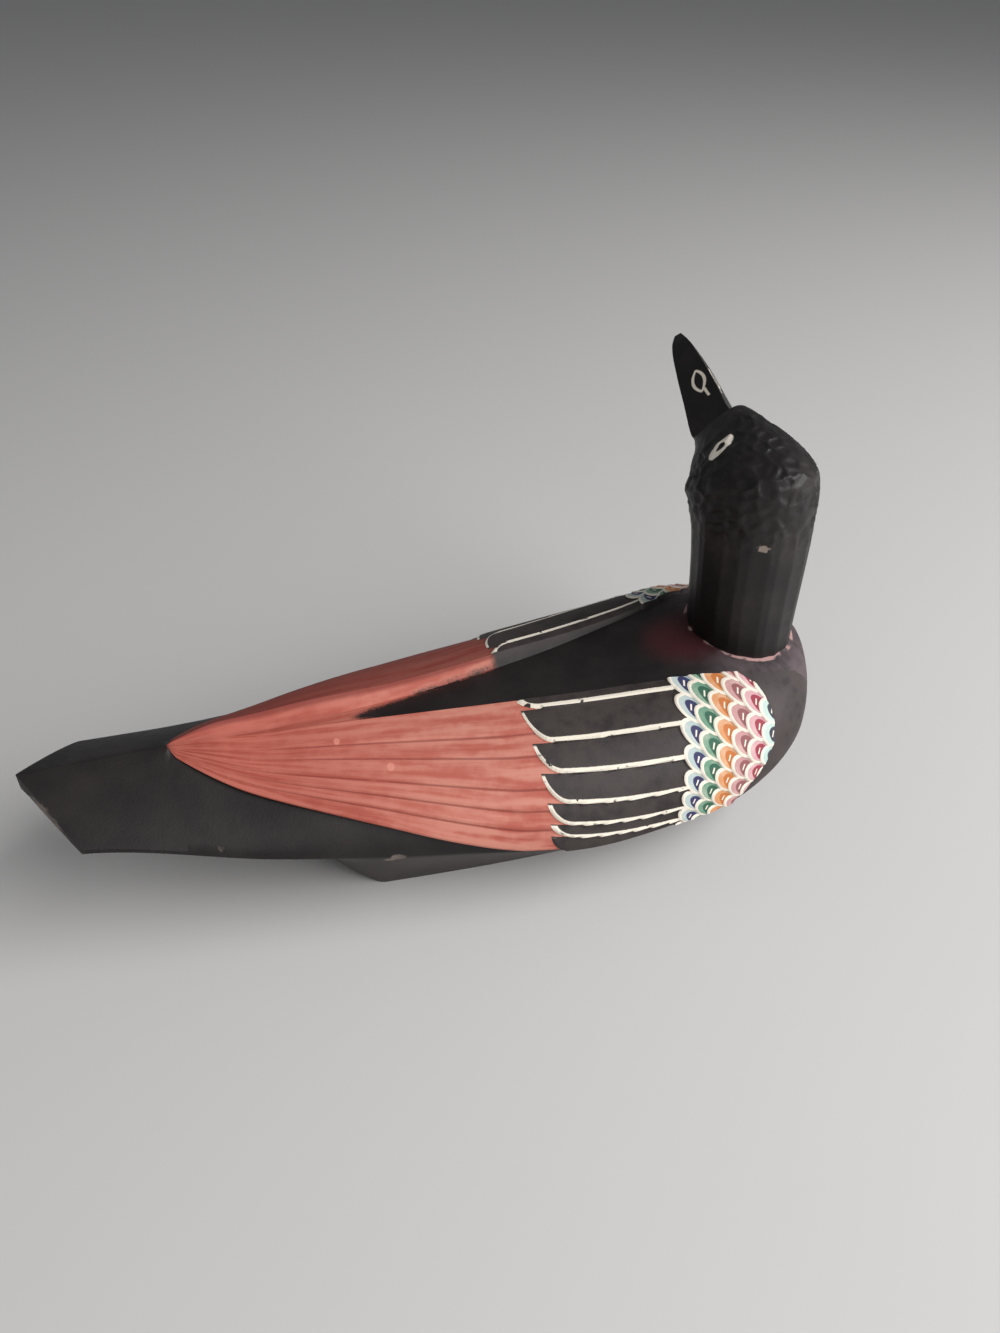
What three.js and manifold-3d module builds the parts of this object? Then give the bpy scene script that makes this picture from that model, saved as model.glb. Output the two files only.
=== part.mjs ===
// A carved and painted wooden bird in two pieces: a long body with folded wings and a level tail, cut
// from one block that stands on its flat underside, and a neck and head, glued on top, that looks over
// the left shoulder. Millimetres. +X runs from tail to breast, +Y is the bird's left, +Z is up, and the
// origin is the middle of the flat underside.
import * as THREE from 'three';
import { LoftGeometry } from 'three/addons/geometries/LoftGeometry.js';
import { mergeVertices } from 'three/addons/utils/BufferGeometryUtils.js';
import Module from 'manifold-3d';

const { clamp, degToRad, lerp, smoothstep } = THREE.MathUtils;
const wasm = await Module();
wasm.setup();

// Places along the body
const TAIL_TIP_X = -189;
const TAIL_CORNER_X = -171.5;
const WING_TIP_X = -139;
const RED_END_X = -15;
const SCALES_START_X = 43;
const BREAST_START_X = 58;
const BREAST_X = 110.5;
const BASE_HALF_LENGTH = 71;

// Profiles along the body, each as [x, size] where the carver's line turns
const LOFT_START_X = TAIL_TIP_X - 5;
const BREAST_MID_Z = 50;
const BREAST_TOP_POWER = 6;
const BACK_Z = profile([
  [LOFT_START_X, 71.5], [WING_TIP_X, 70.5], [-100, 66.5], [-50, 65.5], [0, 67], [40, 71], [66, 74.6],
]);
const CHINE_Y = profile([
  [LOFT_START_X, 27], [TAIL_CORNER_X, 28.3], [-109, 40], [-49, 49.5], [10, 55], [66, 54],
]);
const CHINE_Z = profile([
  [LOFT_START_X, 59.5], [TAIL_CORNER_X, 57.5], [-109, 45], [-49, 36],
  [10, 28.5], [56, 32.5], [74, 39.5], [90, 45.5], [BREAST_X, BREAST_MID_Z],
]);
const CHINE_EDGE = profile([[LOFT_START_X, 2], [-109, 1.4], [-49, 0.6], [10, 0.4]]);
const BASE_Z = profile([
  [LOFT_START_X, 66.5], [-150, 53], [-120, 41], [-95, 22], [-80, 6], [-BASE_HALF_LENGTH, 0], [BREAST_X, 0],
]);
const BASE_Y = profile([
  [LOFT_START_X, 4], [-150, 8], [-110, 15], [-BASE_HALF_LENGTH, 24], [10, 30], [66, 26],
]);
const ROOF_POWER = profile([
  [LOFT_START_X, 1.05], [WING_TIP_X, 1.15], [-73, 1.75], [-14, 2.15], [42, 2.7], [66, 2.7], [BREAST_X, 2.3],
]);
const FLANK_BULGE = profile([[LOFT_START_X, 0], [30, 0], [66, 1], [BREAST_X, 4]]);

// Wings: the crest is the inner edge beside the back, the lower edge runs down to the chine
const CREST_Y = profile([
  [WING_TIP_X, 0.4], [-103, 5], [-50, 9.5], [RED_END_X, 14], [SCALES_START_X, 22], [72, 29],
]);
const CREST_RISE = profile([
  [WING_TIP_X, 0.6], [-120, 5.2], [-90, 6.6], [-50, 5.6], [RED_END_X, 5], [SCALES_START_X, 1.4], [72, 0.7],
]);
const EDGE_SHARE = profile([
  [WING_TIP_X, 0.03], [-137, 0.14], [-113, 0.53], [-69, 0.82], [-34, 0.965], [RED_END_X, 1],
]);
const EDGE_RISE = profile([[WING_TIP_X, 0.3], [-125, 1.5], [SCALES_START_X, 1.5], [72, 0.8]]);
const WING_SINK = 5;
const FEATHER_SINK = 4;
const PATCH_TUCK = 0.02;
const PATCH_FRONT_X = profile([[0, 69], [0.13, 74], [0.45, 76.5], [0.63, 75.7], [0.8, 71], [1, 58]]);

// Long red flight feathers, fluted, on the rear half of each wing
const RED_EDGES = [0, 0.245, 0.39, 0.59, 0.72, 0.84, 1];
const RED_STEP = 0.6;
const RED_FADE = 50;
const RED_LAP = 0.012;
const RED_STATIONS = 10;
const RED_CROWDING = 1.4;

// Black covert feathers lapped like boards on the middle of each wing, closing up a little to the rear
const COVERT_EDGES = [0, 0.094, 0.352, 0.557, 0.75, 0.893, 0.985, 1];
const COVERT_CLOSING = 0.9;
const COVERT_ROUND = 8;
const COVERT_TOP_LIFT = 0.4;
const COVERT_EDGE_LIFT = 1.5;
const COVERT_TUCK = 4;
const COVERT_FACETS = 4;

// Small scale feathers at the shoulder, in slanting staggered columns, further forward on the left
const SCALE_COLUMNS = 6;
const SCALE_ROWS = 7;
const SCALE_FIRST_X = 48.2;
const SCALE_PITCH_X = 6.15;
const SCALE_SLANT_X = -8.5;
const SCALE_FIRST_ROW = 0.062;
const SCALE_ROW_PITCH = 0.19;
const SCALE_ROW_CLOSING = 0.006;
const SCALE_ROW_SPREAD = 0.0055;
const SCALE_HALF_COLUMNS = 0.95;
const SCALE_HALF_ROWS = 0.56;
const SCALE_FREE_LIFT = 1.6;
const SCALE_LAPPED_LIFT = 0.4;
const SCALE_DROOP = 0.2;
const SCALE_SHEAR = 0.4;
const LEFT_PATCH_SHIFT = 11;
const SCALE_FIRST_CUT = -0.25;
const SCALE_LAST_CUT = SCALE_ROWS - 0.5;
const SCALE_COLUMN_FACETS = 3;
const SCALE_ROW_FACETS = 4;

// Neck and head, drawn in their own frame: f forward along the beak, z up, each ring shifted to the right
const NECK_X = 83.8;
const NECK_LEAN_DEG = 0.9;
const HEAD_TURN_DEG = 88.5;
const SEAT_Z = 73.5;
const JOINT_GAP = 0.3;
const KNIFE_FACETS = 22;
const HEAD_RINGS = [
  { nape: [-23, 62], throat: [22, 62], width: 19.4, wedge: 0, shift: 0 },
  { nape: [-23, 92], throat: [22, 92], width: 20.7, wedge: 0, shift: 0 },
  { nape: [-23.5, 118], throat: [22.5, 113], width: 22, wedge: 0.04, shift: 0 },
  { nape: [-23.5, 138], throat: [25.5, 118], width: 22.8, wedge: 0.09, shift: 0 },
  { nape: [-22, 148.5], throat: [29, 122], width: 23, wedge: 0.14, shift: 0 },
  { nape: [-9, 153], throat: [31.5, 125.5], width: 20.4, wedge: 0.05, shift: 0.7 },
  { nape: [4, 155], throat: [34, 128], width: 17, wedge: 0.1, shift: 1.4 },
  { nape: [16, 156.5], throat: [35.5, 130], width: 13, wedge: 0.3, shift: 1.8 },
  { nape: [25, 155.5], throat: [36.5, 131.5], width: 10.2, wedge: 0.4, shift: 2.2 },
  { nape: [30, 153], throat: [37.5, 133], width: 9, wedge: 0.4, shift: 2.2 },
];

// Beak, a wedge with a low ridge on top
const BEAK_ROOT = [0, 118];
const BEAK_RAISE_DEG = 32;
const BEAK_SECTIONS = [
  { along: 34, half: 12, ridge: 12, floor: 8, shift: 2.2 },
  { along: 44, half: 11.2, ridge: 12, floor: 7.5, shift: 1.9 },
  { along: 70, half: 7.6, ridge: 8, floor: 4.5, shift: 0.5 },
  { along: 84, half: 4.3, ridge: 4, floor: 2.4, shift: -0.4 },
  { along: 88, half: 2, ridge: 1.4, floor: 1, shift: -0.4 },
];
const BEAK_CORNERS = [[0, 1], [0.55, 0.35], [1, -0.35], [0.5, -1], [-0.5, -1], [-1, -0.35], [-0.55, 0.35]];

// A smooth curve through [x, value] pairs that never overshoots them
function profile(points) {
  const slopes = points.slice(1).map(([x, value], i) => (value - points[i][1]) / (x - points[i][0]));
  const tangents = points.map((_, i) => {
    const before = slopes[i - 1] ?? slopes[i];
    const after = slopes[i] ?? slopes[i - 1];
    return before * after > 0 ? (2 * before * after) / (before + after) : 0;
  });
  return (x) => {
    const last = points.length - 1;
    const at = clamp(x, points[0][0], points[last][0]);
    const i = clamp(points.findIndex(([end]) => end >= at) - 1, 0, last - 1);
    const [x0, value0] = points[i];
    const [x1, value1] = points[i + 1];
    const width = x1 - x0;
    const t = (at - x0) / width;
    const ease = t * t * (3 - 2 * t);
    const leave = t * (1 - t) ** 2 * width * tangents[i];
    const arrive = t * t * (t - 1) * width * tangents[i + 1];
    return lerp(value0, value1, ease) + leave + arrive;
  };
}

// Sizes of the body's cross-section at x, drawn in to a rounded breast at the front
function crossSection(x) {
  const forward = clamp((x - BREAST_START_X) / (BREAST_X - BREAST_START_X), 0, 1);
  const under = clamp((x - BASE_HALF_LENGTH) / (BREAST_X - BASE_HALF_LENGTH), 0, 1);
  const rounding = Math.sqrt(1 - forward ** 2);
  const topRounding = (1 - forward ** BREAST_TOP_POWER) ** (1 / BREAST_TOP_POWER);
  return {
    backZ: lerp(BREAST_MID_Z, BACK_Z(x), topRounding),
    chineY: CHINE_Y(x) * rounding,
    chineZ: CHINE_Z(x),
    edge: CHINE_EDGE(x) * rounding,
    baseY: BASE_Y(x) * rounding,
    baseZ: lerp(BREAST_MID_Z, BASE_Z(x), Math.sqrt(1 - under ** 2)),
    bulge: FLANK_BULGE(x) * rounding,
    power: ROOF_POWER(x),
  };
}

// The back's half outline from the middle (angle 0) to the chine (a quarter turn), as y and z
function roofAtAngle(size, angle) {
  const y = size.chineY * Math.sin(angle) ** (2 / size.power);
  const z = lerp(size.chineZ, size.backZ, Math.cos(angle) ** (2 / size.power));
  return new THREE.Vector2(y, z);
}

// Lengths along that outline at even angles
const ROOF_STEPS = 48;
const QUARTER = Math.PI / 2;
const TINY = 1e-6;
const NORMAL_STEP = 0.06;
function roofLengths(size) {
  const lengths = [0];
  let last = roofAtAngle(size, 0);
  for (let i = 1; i <= ROOF_STEPS; i += 1) {
    const next = roofAtAngle(size, Math.min((i / ROOF_STEPS) * QUARTER, QUARTER - TINY));
    lengths.push(lengths[i - 1] + next.distanceTo(last));
    last = next;
  }
  return lengths;
}

// A point of the back and its outward normal, at a share of the way from the middle to the chine
function roofAtShare(x, share) {
  const size = crossSection(x);
  const lengths = roofLengths(size);
  const wanted = clamp(share, 0, 1) * lengths[ROOF_STEPS];
  const i = clamp(lengths.findIndex((length) => length >= wanted) - 1, 0, ROOF_STEPS - 1);
  const within = (wanted - lengths[i]) / Math.max(lengths[i + 1] - lengths[i], TINY);
  const angle = ((i + within) / ROOF_STEPS) * QUARTER;
  const before = roofAtAngle(size, Math.max(angle - NORMAL_STEP, 0));
  const after = roofAtAngle(size, Math.min(angle + NORMAL_STEP, QUARTER - TINY));
  const along = after.sub(before).normalize();
  const point = roofAtAngle(size, Math.min(angle, QUARTER - TINY));
  return { point, normal: new THREE.Vector2(-along.y, along.x) };
}

// The share of the way to the chine at which the back is y wide
function shareAtWidth(x, y) {
  const size = crossSection(x);
  const lengths = roofLengths(size);
  const angle = Math.asin(clamp(y / Math.max(size.chineY, TINY), 0, 1) ** (size.power / 2));
  const place = (angle / QUARTER) * ROOF_STEPS;
  const i = Math.min(Math.floor(place), ROOF_STEPS - 1);
  return lerp(lengths[i], lengths[i + 1], place - i) / lengths[ROOF_STEPS];
}

// A point on a wing: v runs from the crest (0) to the lower edge (1), lift is above its plain surface
function wingPoint(side, x, v, lift) {
  const share = lerp(shareAtWidth(x, CREST_Y(x)), EDGE_SHARE(x), v);
  const { point, normal } = roofAtShare(x, share);
  const rise = lerp(CREST_RISE(x), EDGE_RISE(x), v) + lift;
  return new THREE.Vector3(x, side * (point.x + normal.x * rise), point.y + normal.y * rise);
}

// A closed geometry as a solid that can be joined and cut
function solidOf(geometry) {
  const bare = new THREE.BufferGeometry();
  bare.setAttribute('position', geometry.attributes.position);
  bare.setIndex(geometry.index);
  const welded = mergeVertices(bare, 1e-4);
  const triVerts = [];
  for (let i = 0; i < welded.index.count; i += 3) {
    const [a, b, c] = welded.index.array.slice(i, i + 3);
    if (a !== b && b !== c && c !== a) triVerts.push(a, b, c);
  }
  const vertProperties = welded.attributes.position.array;
  const mesh = { numProp: 3, vertProperties, triVerts: new Uint32Array(triVerts) };
  return new wasm.Manifold(new wasm.Mesh(mesh));
}

// A solid back as a geometry with flat facets
function geometryOf(solid) {
  const { vertProperties, triVerts } = solid.getMesh();
  const geometry = new THREE.BufferGeometry();
  geometry.setAttribute('position', new THREE.BufferAttribute(vertProperties, 3));
  geometry.setIndex(new THREE.BufferAttribute(triVerts, 1));
  const faceted = geometry.toNonIndexed();
  faceted.computeVertexNormals();
  return faceted;
}

// A loft with both ends closed, whose sections are given for the bird's right side
function sideLoft(side, sections) {
  const wound = side < 0 ? sections : sections.map((section) => [...section].reverse());
  return solidOf(new LoftGeometry(wound, { capStart: true, capEnd: true }));
}

// Even steps from start to end, both included
function steps(start, end, count) {
  return Array.from({ length: count + 1 }, (_, i) => lerp(start, end, i / count));
}

// The plain block: a gabled tail that swells to a full breast, with a flat underside
const ROOF_FACETS = 8;
const FLANK_FACETS = 4;
const BACK_STATIONS = 20;
const BREAST_STATIONS = 9;
const BREAST_END = 0.985;
function blockSection(x) {
  const size = crossSection(x);
  const roof = steps(0, 1, ROOF_FACETS).map((share) => roofAtShare(x, share).point);
  const flankTop = new THREE.Vector2(size.chineY, size.chineZ - size.edge);
  const flankFoot = new THREE.Vector2(size.baseY, size.baseZ);
  const flankMid = flankTop.clone().lerp(flankFoot, 0.5).add(new THREE.Vector2(size.bulge, -size.bulge));
  const flank = new THREE.QuadraticBezierCurve(flankTop, flankMid, flankFoot).getPoints(FLANK_FACETS);
  const half = [...roof, ...flank];
  const right = half.map((p) => new THREE.Vector3(x, -p.x, p.y));
  const left = half.slice(1).reverse().map((p) => new THREE.Vector3(x, p.x, p.y));
  return [...right, ...left];
}

function block() {
  const straight = steps(LOFT_START_X, BREAST_START_X, BACK_STATIONS);
  const round = steps(0, BREAST_END, BREAST_STATIONS).slice(1).map((share) => Math.sin(share * QUARTER));
  const breast = round.map((share) => lerp(BREAST_START_X, BREAST_X, share));
  const sections = [...straight, ...breast].map(blockSection);
  return solidOf(new LoftGeometry(sections, { capStart: true, capEnd: true }));
}

// The two slanting saw cuts that leave the tail pointed, as one box each side
const CUT_SIZE = 120;
function tailCut(side) {
  const cornerY = CHINE_Y(TAIL_CORNER_X);
  const slant = Math.atan2(TAIL_CORNER_X - TAIL_TIP_X, cornerY);
  const box = new THREE.BoxGeometry(CUT_SIZE, CUT_SIZE, CUT_SIZE);
  box.translate(-CUT_SIZE / 2, 0, BASE_HALF_LENGTH);
  box.rotateZ(-side * slant);
  box.translate(TAIL_TIP_X, 0, 0);
  return solidOf(box);
}

// How far forward the scale patch of a side lies
function patchShift(side) {
  return side > 0 ? LEFT_PATCH_SHIFT : 0;
}

// A wing's plate: fluted where the red flight feathers run, plain under the other feathers
function wingPlate(side) {
  const plateSection = (place) => {
    const outer = RED_EDGES.slice(1).flatMap((edge, i) => [
      wingPoint(side, place.x(RED_EDGES[i]), RED_EDGES[i] + (i > 0 ? RED_LAP : 0), 0),
      wingPoint(side, place.x(edge), edge, place.flute),
    ]);
    const inner = [1, 0.5, 0].map((v) => wingPoint(side, place.x(v), v, -WING_SINK - CREST_RISE(place.x(v))));
    return [...outer, ...inner];
  };
  const fluteDepth = (x) => RED_STEP * smoothstep(x, WING_TIP_X, WING_TIP_X + RED_FADE);
  const red = steps(0, 1, RED_STATIONS).map((t) => lerp(WING_TIP_X, RED_END_X, t ** RED_CROWDING));
  const places = red.map((x) => ({ x: () => x, flute: fluteDepth(x) }));
  const patchStart = SCALES_START_X + patchShift(side);
  const patchFront = (v) => PATCH_FRONT_X(v) + patchShift(side);
  const plain = steps(RED_END_X + 0.5, patchStart, 3);
  places.push(...plain.map((x) => ({ x: () => x, flute: 0 })));
  const patch = steps(0, 1, 4).slice(1);
  places.push(...patch.map((t) => ({ x: (v) => lerp(patchStart, patchFront(v), t), flute: 0 })));
  return sideLoft(side, places.map(plateSection));
}

// One black covert: a board between two edges, round at its rear lower corner
function covert(side, top, bottom) {
  const across = steps(0, 1, COVERT_FACETS).map((t) => Math.sin(t * QUARTER));
  const rearX = (t) => RED_END_X + COVERT_ROUND * (1 - Math.sqrt(1 - t ** 2));
  const patchStart = SCALES_START_X + patchShift(side);
  const frontX = patchStart + COVERT_TUCK;
  const forward = (x) => Math.min((x - RED_END_X) / (patchStart - RED_END_X), 1);
  const closing = (x) => lerp(COVERT_CLOSING, 1, forward(x));
  const boardSection = (along) => {
    const at = (t, lift) => {
      const x = lerp(rearX(t), frontX, along);
      return wingPoint(side, x, closing(x) * lerp(top, bottom, t), lift);
    };
    const outer = across.map((t) => at(t, lerp(COVERT_TOP_LIFT, COVERT_EDGE_LIFT, t)));
    const inner = [...across].reverse().map((t) => at(t, -FEATHER_SINK));
    return [...outer, ...inner];
  };
  return sideLoft(side, steps(0, 1, COVERT_FACETS).map(boardSection));
}

// Where a column and a row of the scale feathers cross, as x and v on the wing
function scalePlace(column, row) {
  const evenV = SCALE_FIRST_ROW + SCALE_ROW_PITCH * row - SCALE_ROW_CLOSING * row ** 2;
  const x = SCALE_FIRST_X + SCALE_PITCH_X * column + SCALE_SLANT_X * evenV;
  const v = clamp(evenV * (1 + SCALE_ROW_SPREAD * (x - SCALES_START_X)), 0, 1);
  const beyond = Math.max(x - PATCH_FRONT_X(v), 0);
  return { x: Math.min(x, PATCH_FRONT_X(v)) + beyond * PATCH_TUCK, v };
}

// How far the scale feathers stand up there: each lifts towards its free edge, down and to the rear
function scaleLift(column, row) {
  let lift = SCALE_LAPPED_LIFT;
  for (let c = 0; c < SCALE_COLUMNS; c += 1) {
    for (let count = -1; count <= SCALE_ROWS; count += 1) {
      const along = (column - c) / SCALE_HALF_COLUMNS;
      const across = (row - count - (c % 2) / 2) / SCALE_HALF_ROWS - SCALE_SHEAR * along;
      const freeness = clamp(0.5 + SCALE_DROOP * across - 0.5 * along, 0, 1);
      const inside = Math.hypot(along, across) < 1;
      if (inside) lift = Math.max(lift, lerp(SCALE_LAPPED_LIFT, SCALE_FREE_LIFT, freeness));
    }
  }
  return lift;
}

// The shoulder's patch of scale feathers as one lapped plate
function scalePatch(side) {
  const rowSpan = SCALE_LAST_CUT - SCALE_FIRST_CUT;
  const rows = steps(SCALE_FIRST_CUT, SCALE_LAST_CUT, rowSpan * SCALE_ROW_FACETS);
  const columns = steps(-1, SCALE_COLUMNS - 1, SCALE_COLUMNS * SCALE_COLUMN_FACETS);
  const onPatch = (column, row, lift) => {
    const { x, v } = scalePlace(column, row);
    return wingPoint(side, x + patchShift(side), v, lift);
  };
  const patchSection = (column) => {
    const outer = rows.map((row) => onPatch(column, row, scaleLift(column, row)));
    const inner = steps(rows.at(-1), rows[0], 4).map((row) => onPatch(column, row, -FEATHER_SINK));
    return [...outer, ...inner];
  };
  return sideLoft(side, columns.map(patchSection));
}

function body() {
  let solid = block();
  for (const side of [-1, 1]) {
    solid = solid.add(wingPlate(side));
    for (let i = 1; i < COVERT_EDGES.length; i += 1) {
      solid = solid.add(covert(side, COVERT_EDGES[i - 1], COVERT_EDGES[i]));
    }
    solid = solid.add(scalePatch(side));
    solid = solid.subtract(tailCut(side));
  }
  return solid;
}

// A ring of the neck or head, from its throat point round by the left side to its nape point
function headRing({ nape, throat, width, wedge, shift }) {
  return steps(0, 2 * Math.PI, KNIFE_FACETS).slice(0, KNIFE_FACETS).map((angle) => {
    const toNape = (1 - Math.cos(angle)) / 2;
    const sideways = width * Math.sin(angle) * (1 + wedge * Math.cos(angle)) - shift;
    return new THREE.Vector3(lerp(throat[0], nape[0], toNape), sideways, lerp(throat[1], nape[1], toNape));
  });
}

// A seven-cornered slice across the beak: ridge, cheeks and a narrow floor
function beakSlice({ along, half, ridge, floor, shift }) {
  const raise = degToRad(BEAK_RAISE_DEG);
  return BEAK_CORNERS.map(([across, up]) => {
    const height = up * (up > 0 ? ridge : floor);
    const f = BEAK_ROOT[0] + along * Math.cos(raise) - height * Math.sin(raise);
    const z = BEAK_ROOT[1] + along * Math.sin(raise) + height * Math.cos(raise);
    return new THREE.Vector3(f, across * half - shift, z);
  }).reverse();
}

function neckAndHead(bodySolid) {
  const ends = { capStart: true, capEnd: true };
  const place = new THREE.Matrix4().makeTranslation(NECK_X, 0, SEAT_Z)
    .multiply(new THREE.Matrix4().makeRotationY(degToRad(-NECK_LEAN_DEG)))
    .multiply(new THREE.Matrix4().makeRotationZ(degToRad(HEAD_TURN_DEG)))
    .multiply(new THREE.Matrix4().makeTranslation(0, 0, -SEAT_Z));
  const skull = solidOf(new LoftGeometry(HEAD_RINGS.map(headRing), ends).applyMatrix4(place));
  const beak = solidOf(new LoftGeometry(BEAK_SECTIONS.map(beakSlice), ends).applyMatrix4(place));
  return skull.add(beak).subtract(bodySolid.translate([0, 0, JOINT_GAP]));
}

// Each piece as a named mesh in its own finish
const blackPaint = new THREE.MeshStandardMaterial({ color: 0x2d2826, roughness: 0.55, metalness: 0 });
const neckPaint = new THREE.MeshStandardMaterial({ color: 0x262322, roughness: 0.5, metalness: 0 });
const bodySolid = body();
const bodyMesh = new THREE.Mesh(geometryOf(bodySolid), blackPaint);
bodyMesh.name = 'body';
const headMesh = new THREE.Mesh(geometryOf(neckAndHead(bodySolid)), neckPaint);
headMesh.name = 'neck_and_head';

const bird = new THREE.Group();
bird.add(bodyMesh, headMesh);
export default bird;
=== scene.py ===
# The look of a carved and painted wooden bird: a finely carved body, a knife-cut neck and head, and a stage.
import math

import bmesh
import bpy
import numpy as np
from mathutils import Matrix, Vector, noise


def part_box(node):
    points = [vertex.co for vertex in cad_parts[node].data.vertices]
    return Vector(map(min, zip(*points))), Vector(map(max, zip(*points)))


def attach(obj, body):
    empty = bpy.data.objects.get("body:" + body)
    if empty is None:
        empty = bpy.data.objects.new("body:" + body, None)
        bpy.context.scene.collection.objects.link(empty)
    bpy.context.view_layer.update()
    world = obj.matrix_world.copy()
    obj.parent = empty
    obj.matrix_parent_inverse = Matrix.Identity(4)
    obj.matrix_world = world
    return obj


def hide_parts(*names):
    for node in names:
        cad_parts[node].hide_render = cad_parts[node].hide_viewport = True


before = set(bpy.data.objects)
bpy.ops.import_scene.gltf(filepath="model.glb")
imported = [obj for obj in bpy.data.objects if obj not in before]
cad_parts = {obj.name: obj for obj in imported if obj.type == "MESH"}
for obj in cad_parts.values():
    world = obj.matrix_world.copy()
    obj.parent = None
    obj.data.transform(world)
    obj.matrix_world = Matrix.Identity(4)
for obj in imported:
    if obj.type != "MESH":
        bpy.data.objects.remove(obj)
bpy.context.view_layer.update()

bl_info = {
    "name": "Carved Painted Bird",
    "version": (1, 0, 0),
    "blender": (4, 5, 0),
    "location": "3D View > Sidebar > Bird",
    "description": "Models a carved and painted wooden bird on a pale table",
    "category": "Add Mesh",
}

MM = 0.001
MERGE_DISTANCE = 1e-6
SHARP_DEG = 50

# Places along the body in millimetres, the same as the solid part's
TAIL_TIP_X = -189
TAIL_CORNER_X = -171.5
WING_TIP_X = -139
RED_END_X = -15
SCALES_START_X = 43
BREAST_START_X = 58
BREAST_X = 110.5
BASE_HALF_LENGTH = 71
LOFT_START_X = TAIL_TIP_X - 5
BREAST_MID_Z = 50
BREAST_TOP_POWER = 6

# Lower edges of red feathers and black coverts as shares down the wing; the lowest covert runs past its edge
RED_EDGES = (0, 0.245, 0.39, 0.59, 0.72, 0.84, 1)
COVERT_EDGES = (0, 0.094, 0.352, 0.557, 0.75, 0.893, 0.985, 1.12)
RED_LAP = 0.014
RED_FADE = 50
RED_FLUTE_POWER = 1.3
COVERT_CLOSING = 0.9
COVERT_ROUND = 8
COVERT_TOP_LIFT = 0.4
COVERT_SOFTNESS = 0.7
WING_ARC = 62

# The lattice of the scale feathers, further forward on the left
LEFT_PATCH_SHIFT = 11
SCALE_COLUMNS = 6
SCALE_ROWS = 8
SCALE_FIRST_X = 48.2
SCALE_PITCH_X = 6.15
SCALE_SLANT_X = -8.5
SCALE_FIRST_ROW = 0.062
SCALE_ROW_PITCH = 0.19
SCALE_ROW_CLOSING = 0.006
SCALE_ROW_SPREAD = 0.0055
SCALE_HALF_COLUMNS = 0.95
SCALE_HALF_ROWS = 0.56
SCALE_DROOP = 0.2
SCALE_SHEAR = 0.5
SCALE_LAPPED_LIFT = 0.4
SCALE_SOFTNESS = 0.09
SCALE_REACH = 14

# Where the wing attribute changes zone: back, inner face, wing from 0 to 1, and what lies below it
BACK_MIDDLE_V = -1.1
CREST_FOOT_V = -0.1
STEP_END_V = 1.05
ROOF_END_V = 2
FLANK_START_V = 2.05
UNDER_END_V = 3

# Neck and head, drawn in their own frame: f forward along the beak, z up
NECK_X = 83.8
NECK_LEAN_DEG = 0.9
HEAD_TURN_DEG = 88.5
SEAT_Z = 73.5


def srgb(red, green, blue):
    """A paint colour read as eight-bit screen values, as linear light."""
    def linear(value):
        share = value / 255
        return share / 12.92 if share <= 0.04045 else ((share + 0.055) / 1.055) ** 2.4
    return (linear(red), linear(green), linear(blue), 1.0)


def colour_property(name, description, value):
    return bpy.props.FloatVectorProperty(
        name=name, description=description, subtype="COLOR", size=4, min=0, max=1, default=value
    )


def power_property(name, description, watts):
    return bpy.props.FloatProperty(name=name, description=description, unit="POWER", default=watts)


def length_property(name, description, millimetres):
    return bpy.props.FloatProperty(
        name=name, description=description, subtype="DISTANCE", unit="LENGTH", default=millimetres * MM
    )


class BirdCarving(bpy.types.PropertyGroup):
    """Depths of the knife work"""
    red_step: length_property("Flight feather step", "How far each red feather stands over the next", 0.6)
    covert_step: length_property("Covert step", "How far each black covert stands at its lower edge", 1.5)
    scale_step: length_property("Scale step", "How far each scale feather stands at its free edge", 1.6)
    knife_depth: length_property("Knife hollow depth", "Depth of the small knife hollows on the head", 0.9)


class BirdPaint(bpy.types.PropertyGroup):
    """Colours of the paint"""
    black: colour_property("Black", "Satin black of body, coverts and neck", srgb(20, 16, 16))
    worn_black: colour_property("Worn black", "Black where handling has greyed it", srgb(36, 30, 30))
    # Covert grey is partly handling wear and partly painted sheen and floor reflection on the coverts and
    # flanks
    covert_grey_wear_and_sheen: colour_property("Covert black", "Greyer black of coverts and flanks", srgb(64, 56, 54))
    # The breast colour is painted sheen: reflected light painted as purplish grey over the black
    breast: colour_property("Breast", "Purplish grey sheen of the breast", srgb(106, 92, 96))
    # Maroon is painted shade: the neck's shadow on the back, painted as a dark red tint
    maroon_neck_shade: colour_property("Maroon", "Red that shows through the black behind the neck", srgb(70, 26, 29))
    red: colour_property("Flight red", "Salmon red of the flight feathers", srgb(180, 96, 81))
    red_shade: colour_property("Red shade", "Darker brush streaks in the red", srgb(160, 72, 58))
    # Red tint is partly dust and partly painted sheen, paler towards the front of the wings
    red_dust_and_sheen: colour_property("Red tint", "Paler, dusty brush streaks in the red", srgb(198, 130, 113))
    # Deep red is painted shade: on the left wing, turned from the light, and in the creases below each flight
    # feather's edge
    deep_red_painted_shade: colour_property("Deep red", "Red in the cuts between the feathers", srgb(112, 38, 31))
    cream: colour_property("Cream", "Cream white of lines and scale rims", srgb(238, 228, 212))
    bare_wood: colour_property("Bare wood", "Pale wood where the paint has chipped", srgb(168, 150, 138))
    seam: colour_property("Seam", "Pale pink filler that shows at the foot of the neck", srgb(190, 150, 146))
    drop: colour_property("Drops", "Pale red drops spilt on the wing", srgb(228, 150, 132))


class BirdStage(bpy.types.PropertyGroup):
    """Table and light"""
    floor: colour_property("Table", "Pale table top", srgb(206, 204, 202))
    mottle: colour_property("Table mottle", "Darker clouds in the table top", srgb(190, 188, 187))
    key_power: power_property("Key light", "Power of the main light", 34)
    fill_power: power_property("Fill light", "Power of the fill light", 2)
    room_light: bpy.props.FloatProperty(
        name="Room light", description="Strength of the even room light", default=0.17
    )


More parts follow.
